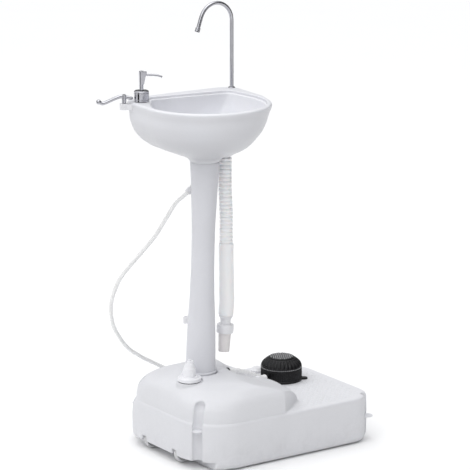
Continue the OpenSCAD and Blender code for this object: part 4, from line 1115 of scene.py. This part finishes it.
# ---------------------------------------------------------------- filler cap
g = np.arange(-31, 31.1, 0.55)
gz = np.arange(178, 247, 0.55)
X, Y, Z = g[:, None, None], g[None, :, None], gz[None, None, :]
R = np.sqrt(X ** 2 + Y ** 2)
TH = np.arctan2(Y, X)


def drum(r, z0, z1, kk=1.2):
    return smax(R - r + 0 * Z, np.maximum(Z - z1, z0 - Z), kk)


def cone(r0, r1, z0, z1, kk=1.2):
    t = np.clip((Z - z0) / (z1 - z0), 0, 1)
    c = math.cos(math.atan2(abs(r0 - r1), z1 - z0))
    return smax((R - (r0 + (r1 - r0) * t)) * c, np.maximum(Z - z1, z0 - Z), kk)


F = drum(29, 193.6, 202.6, 1.8)
F = smin(F, cone(23.0, 21.0, 201, 205.5, 1.4), 0.8)
F = smin(F, cone(15.8, 15.0, 204, 226.0, 1.4), 0.8)
F = smin(F, cone(14.0, 10.8, 225, 237.0, 1.4), 1.0)
F = smin(F, drum(9.8, 234, 244.0, 1.5), 1.2)
F = smin(F, drum(19.6, 180, 195, 0.8), 0.8)
F = smax(F, -(np.maximum(np.abs(Y) - 2.2 + 0 * X, 237.4 - Z)), 1.0)
F = smax(F, -(np.maximum(np.abs(X) - 1.6 + 0 * Y, 239.4 - Z)), 1.0)
F = smax(F, -np.maximum(R - 16, Z - 191), 0.8)
# fine grip flutes on the lower rim
flute = (0.5 + 0.5 * np.cos(TH * 40)) * 0.45 * np.clip(1 - np.abs(Z - 198.2) / 3.4, 0, 1)
F = F + np.where(R > 26, flute, 0)
# thin gussets between the tiers and the cone
for a in (20, 140, 260):
    c, sn = math.cos(math.radians(a)), math.sin(math.radians(a))
    al, ac = X * c + Y * sn, -X * sn + Y * c
    F = smin(F, np.maximum(np.maximum(np.abs(ac) - 1.0, al - (19.5 - (Z - 212) * 0.5)),
                           np.maximum(-al, np.maximum(Z - 228, 208 - Z))), 1.2)
v, f = surface(F.astype(np.float32), g, g, gz)
big_obj("filler_cap_body", v + np.array([CAP[0], CAP[1], 0]), f, "cap", body="cap", slot="white_fitting",
        replaces=["filler_cap"])
del F

lathed("tank_plug_body", [(0, 107), (11.6, 107), (11.8, 118.1), (17, 118.1), (17, 124), (15, 124.4), (11, 130), (0, 130.3)], "fitting",
       (PLUG[0], PLUG[1], 0), r=1.1, segs=80, slot="white_fitting", replaces=["tank_plug"],
       mod=lambda r, z, th: (r - (r > 16.2) * 0.5 * (np.cos(th * 20) > 0.3), z))


# ---------------------------------------------------------------- carried-over CAD nodes
for s in frame["record"]["subparts"]:
    o = NODES.get(s["node"])
    if o is None or o.hide_render:
        continue
    o.data.materials.clear()
    o.data.materials.append(M[SLOT_MAT[s["material_slot"]]])
    b = o.modifiers.new("edges", "BEVEL")
    b.width = 0.0005
    b.segments = 2
    b.limit_method = "ANGLE"
    b.angle_limit = math.radians(35)
    b.use_clamp_overlap = True


# ---------------------------------------------------------------- floor and light
def stage_plane(name, size, loc, mat, rotation=(0, 0, 0)):
    me = bpy.data.meshes.new(name)
    n = 40
    g = np.linspace(-0.5, 0.5, n + 1)
    vs = [(x * size[0], y * size[1], 0) for x in g for y in g]
    fs = [(i * (n + 1) + j, (i + 1) * (n + 1) + j, (i + 1) * (n + 1) + j + 1, i * (n + 1) + j + 1)
          for i in range(n) for j in range(n)]
    me.from_pydata(vs, [], fs)
    me.materials.append(mat)
    o = bpy.data.objects.new(name, me)
    o.location = loc
    o.rotation_euler = rotation
    bpy.context.scene.collection.objects.link(o)
    return o


def matte(name, col, rough=0.9):
    m, nt, b = shader(name)
    vec = coords(nt)
    c = ramp(nt, noise(nt, vec, 2.0, 3.0), [(0.3, scaled(col, 0.995)), (0.7, col)])
    nt.links.new(c, b.inputs["Base Color"])
    b.inputs["Roughness"].default_value = rough
    b.inputs["Specular IOR Level"].default_value = 0.2
    return m


stage_plane("floor", (40, 40), (0, 0, -0.0012), matte("floor_paper", (0.96, 0.96, 0.96)))
flag = matte("black_card", (0.012, 0.012, 0.013))
# two black cards beside the set put the dark stripes in the chrome; views from their side look through them
for card in (stage_plane("card_right", (1.9, 3.0), (2.6, -1.4, 1.45), flag, (math.radians(90), 0, math.radians(58))),
             stage_plane("card_left", (1.2, 1.7), (-2.7, -0.3, 0.8), flag, (math.radians(90), 0, math.radians(-70)))):
    card.visible_camera = False

# soft sky: brightest from the upper left, weakest from the right
world = bpy.data.worlds.new("studio")
bpy.context.scene.world = world
world.use_nodes = True
wt = world.node_tree
wt.nodes.clear()
wo = wt.nodes.new("ShaderNodeOutputWorld")
wb = wt.nodes.new("ShaderNodeBackground")
wc = wt.nodes.new("ShaderNodeTexCoord")
wd = wt.nodes.new("ShaderNodeVectorMath")
wd.operation = "DOT_PRODUCT"
wd.inputs[1].default_value = (-0.22, 0.05, 0.974)
wt.links.new(wc.outputs["Generated"], wd.inputs[0])
wb.inputs["Color"].default_value = (0.985, 0.99, 1.0, 1)
wp = wt.nodes.new("ShaderNodeMath")
wp.operation = "POWER"
wp.inputs[1].default_value = 2.8
wt.links.new(span(wt, wd.outputs["Value"], 0.0, 1.0, -0.45, 1.0), wp.inputs[0])
wt.links.new(span(wt, wp.outputs[0], 0.08, 1.97, 0.0, 1.0), wb.inputs["Strength"])
wt.links.new(wb.outputs[0], wo.inputs[0])


def area(name, loc, target, size, power, color=(1, 1, 1), size_y=None):
    d = bpy.data.lights.new(name, "AREA")
    d.energy = power
    d.color = color
    d.shape = "RECTANGLE"
    d.size = size
    d.size_y = size_y or size
    o = bpy.data.objects.new(name, d)
    o.location = loc
    o.rotation_euler = (Vector(target) - Vector(loc)).to_track_quat("-Z", "Y").to_euler()
    bpy.context.scene.collection.objects.link(o)
    return o


area("key", (-2.6, -1.6, 3.0), (-0.1, 0, 0.5), 1.8, 15)
area("top", (0.2, 0.4, 3.4), (-0.1, 0, 0.3), 2.2, 15)
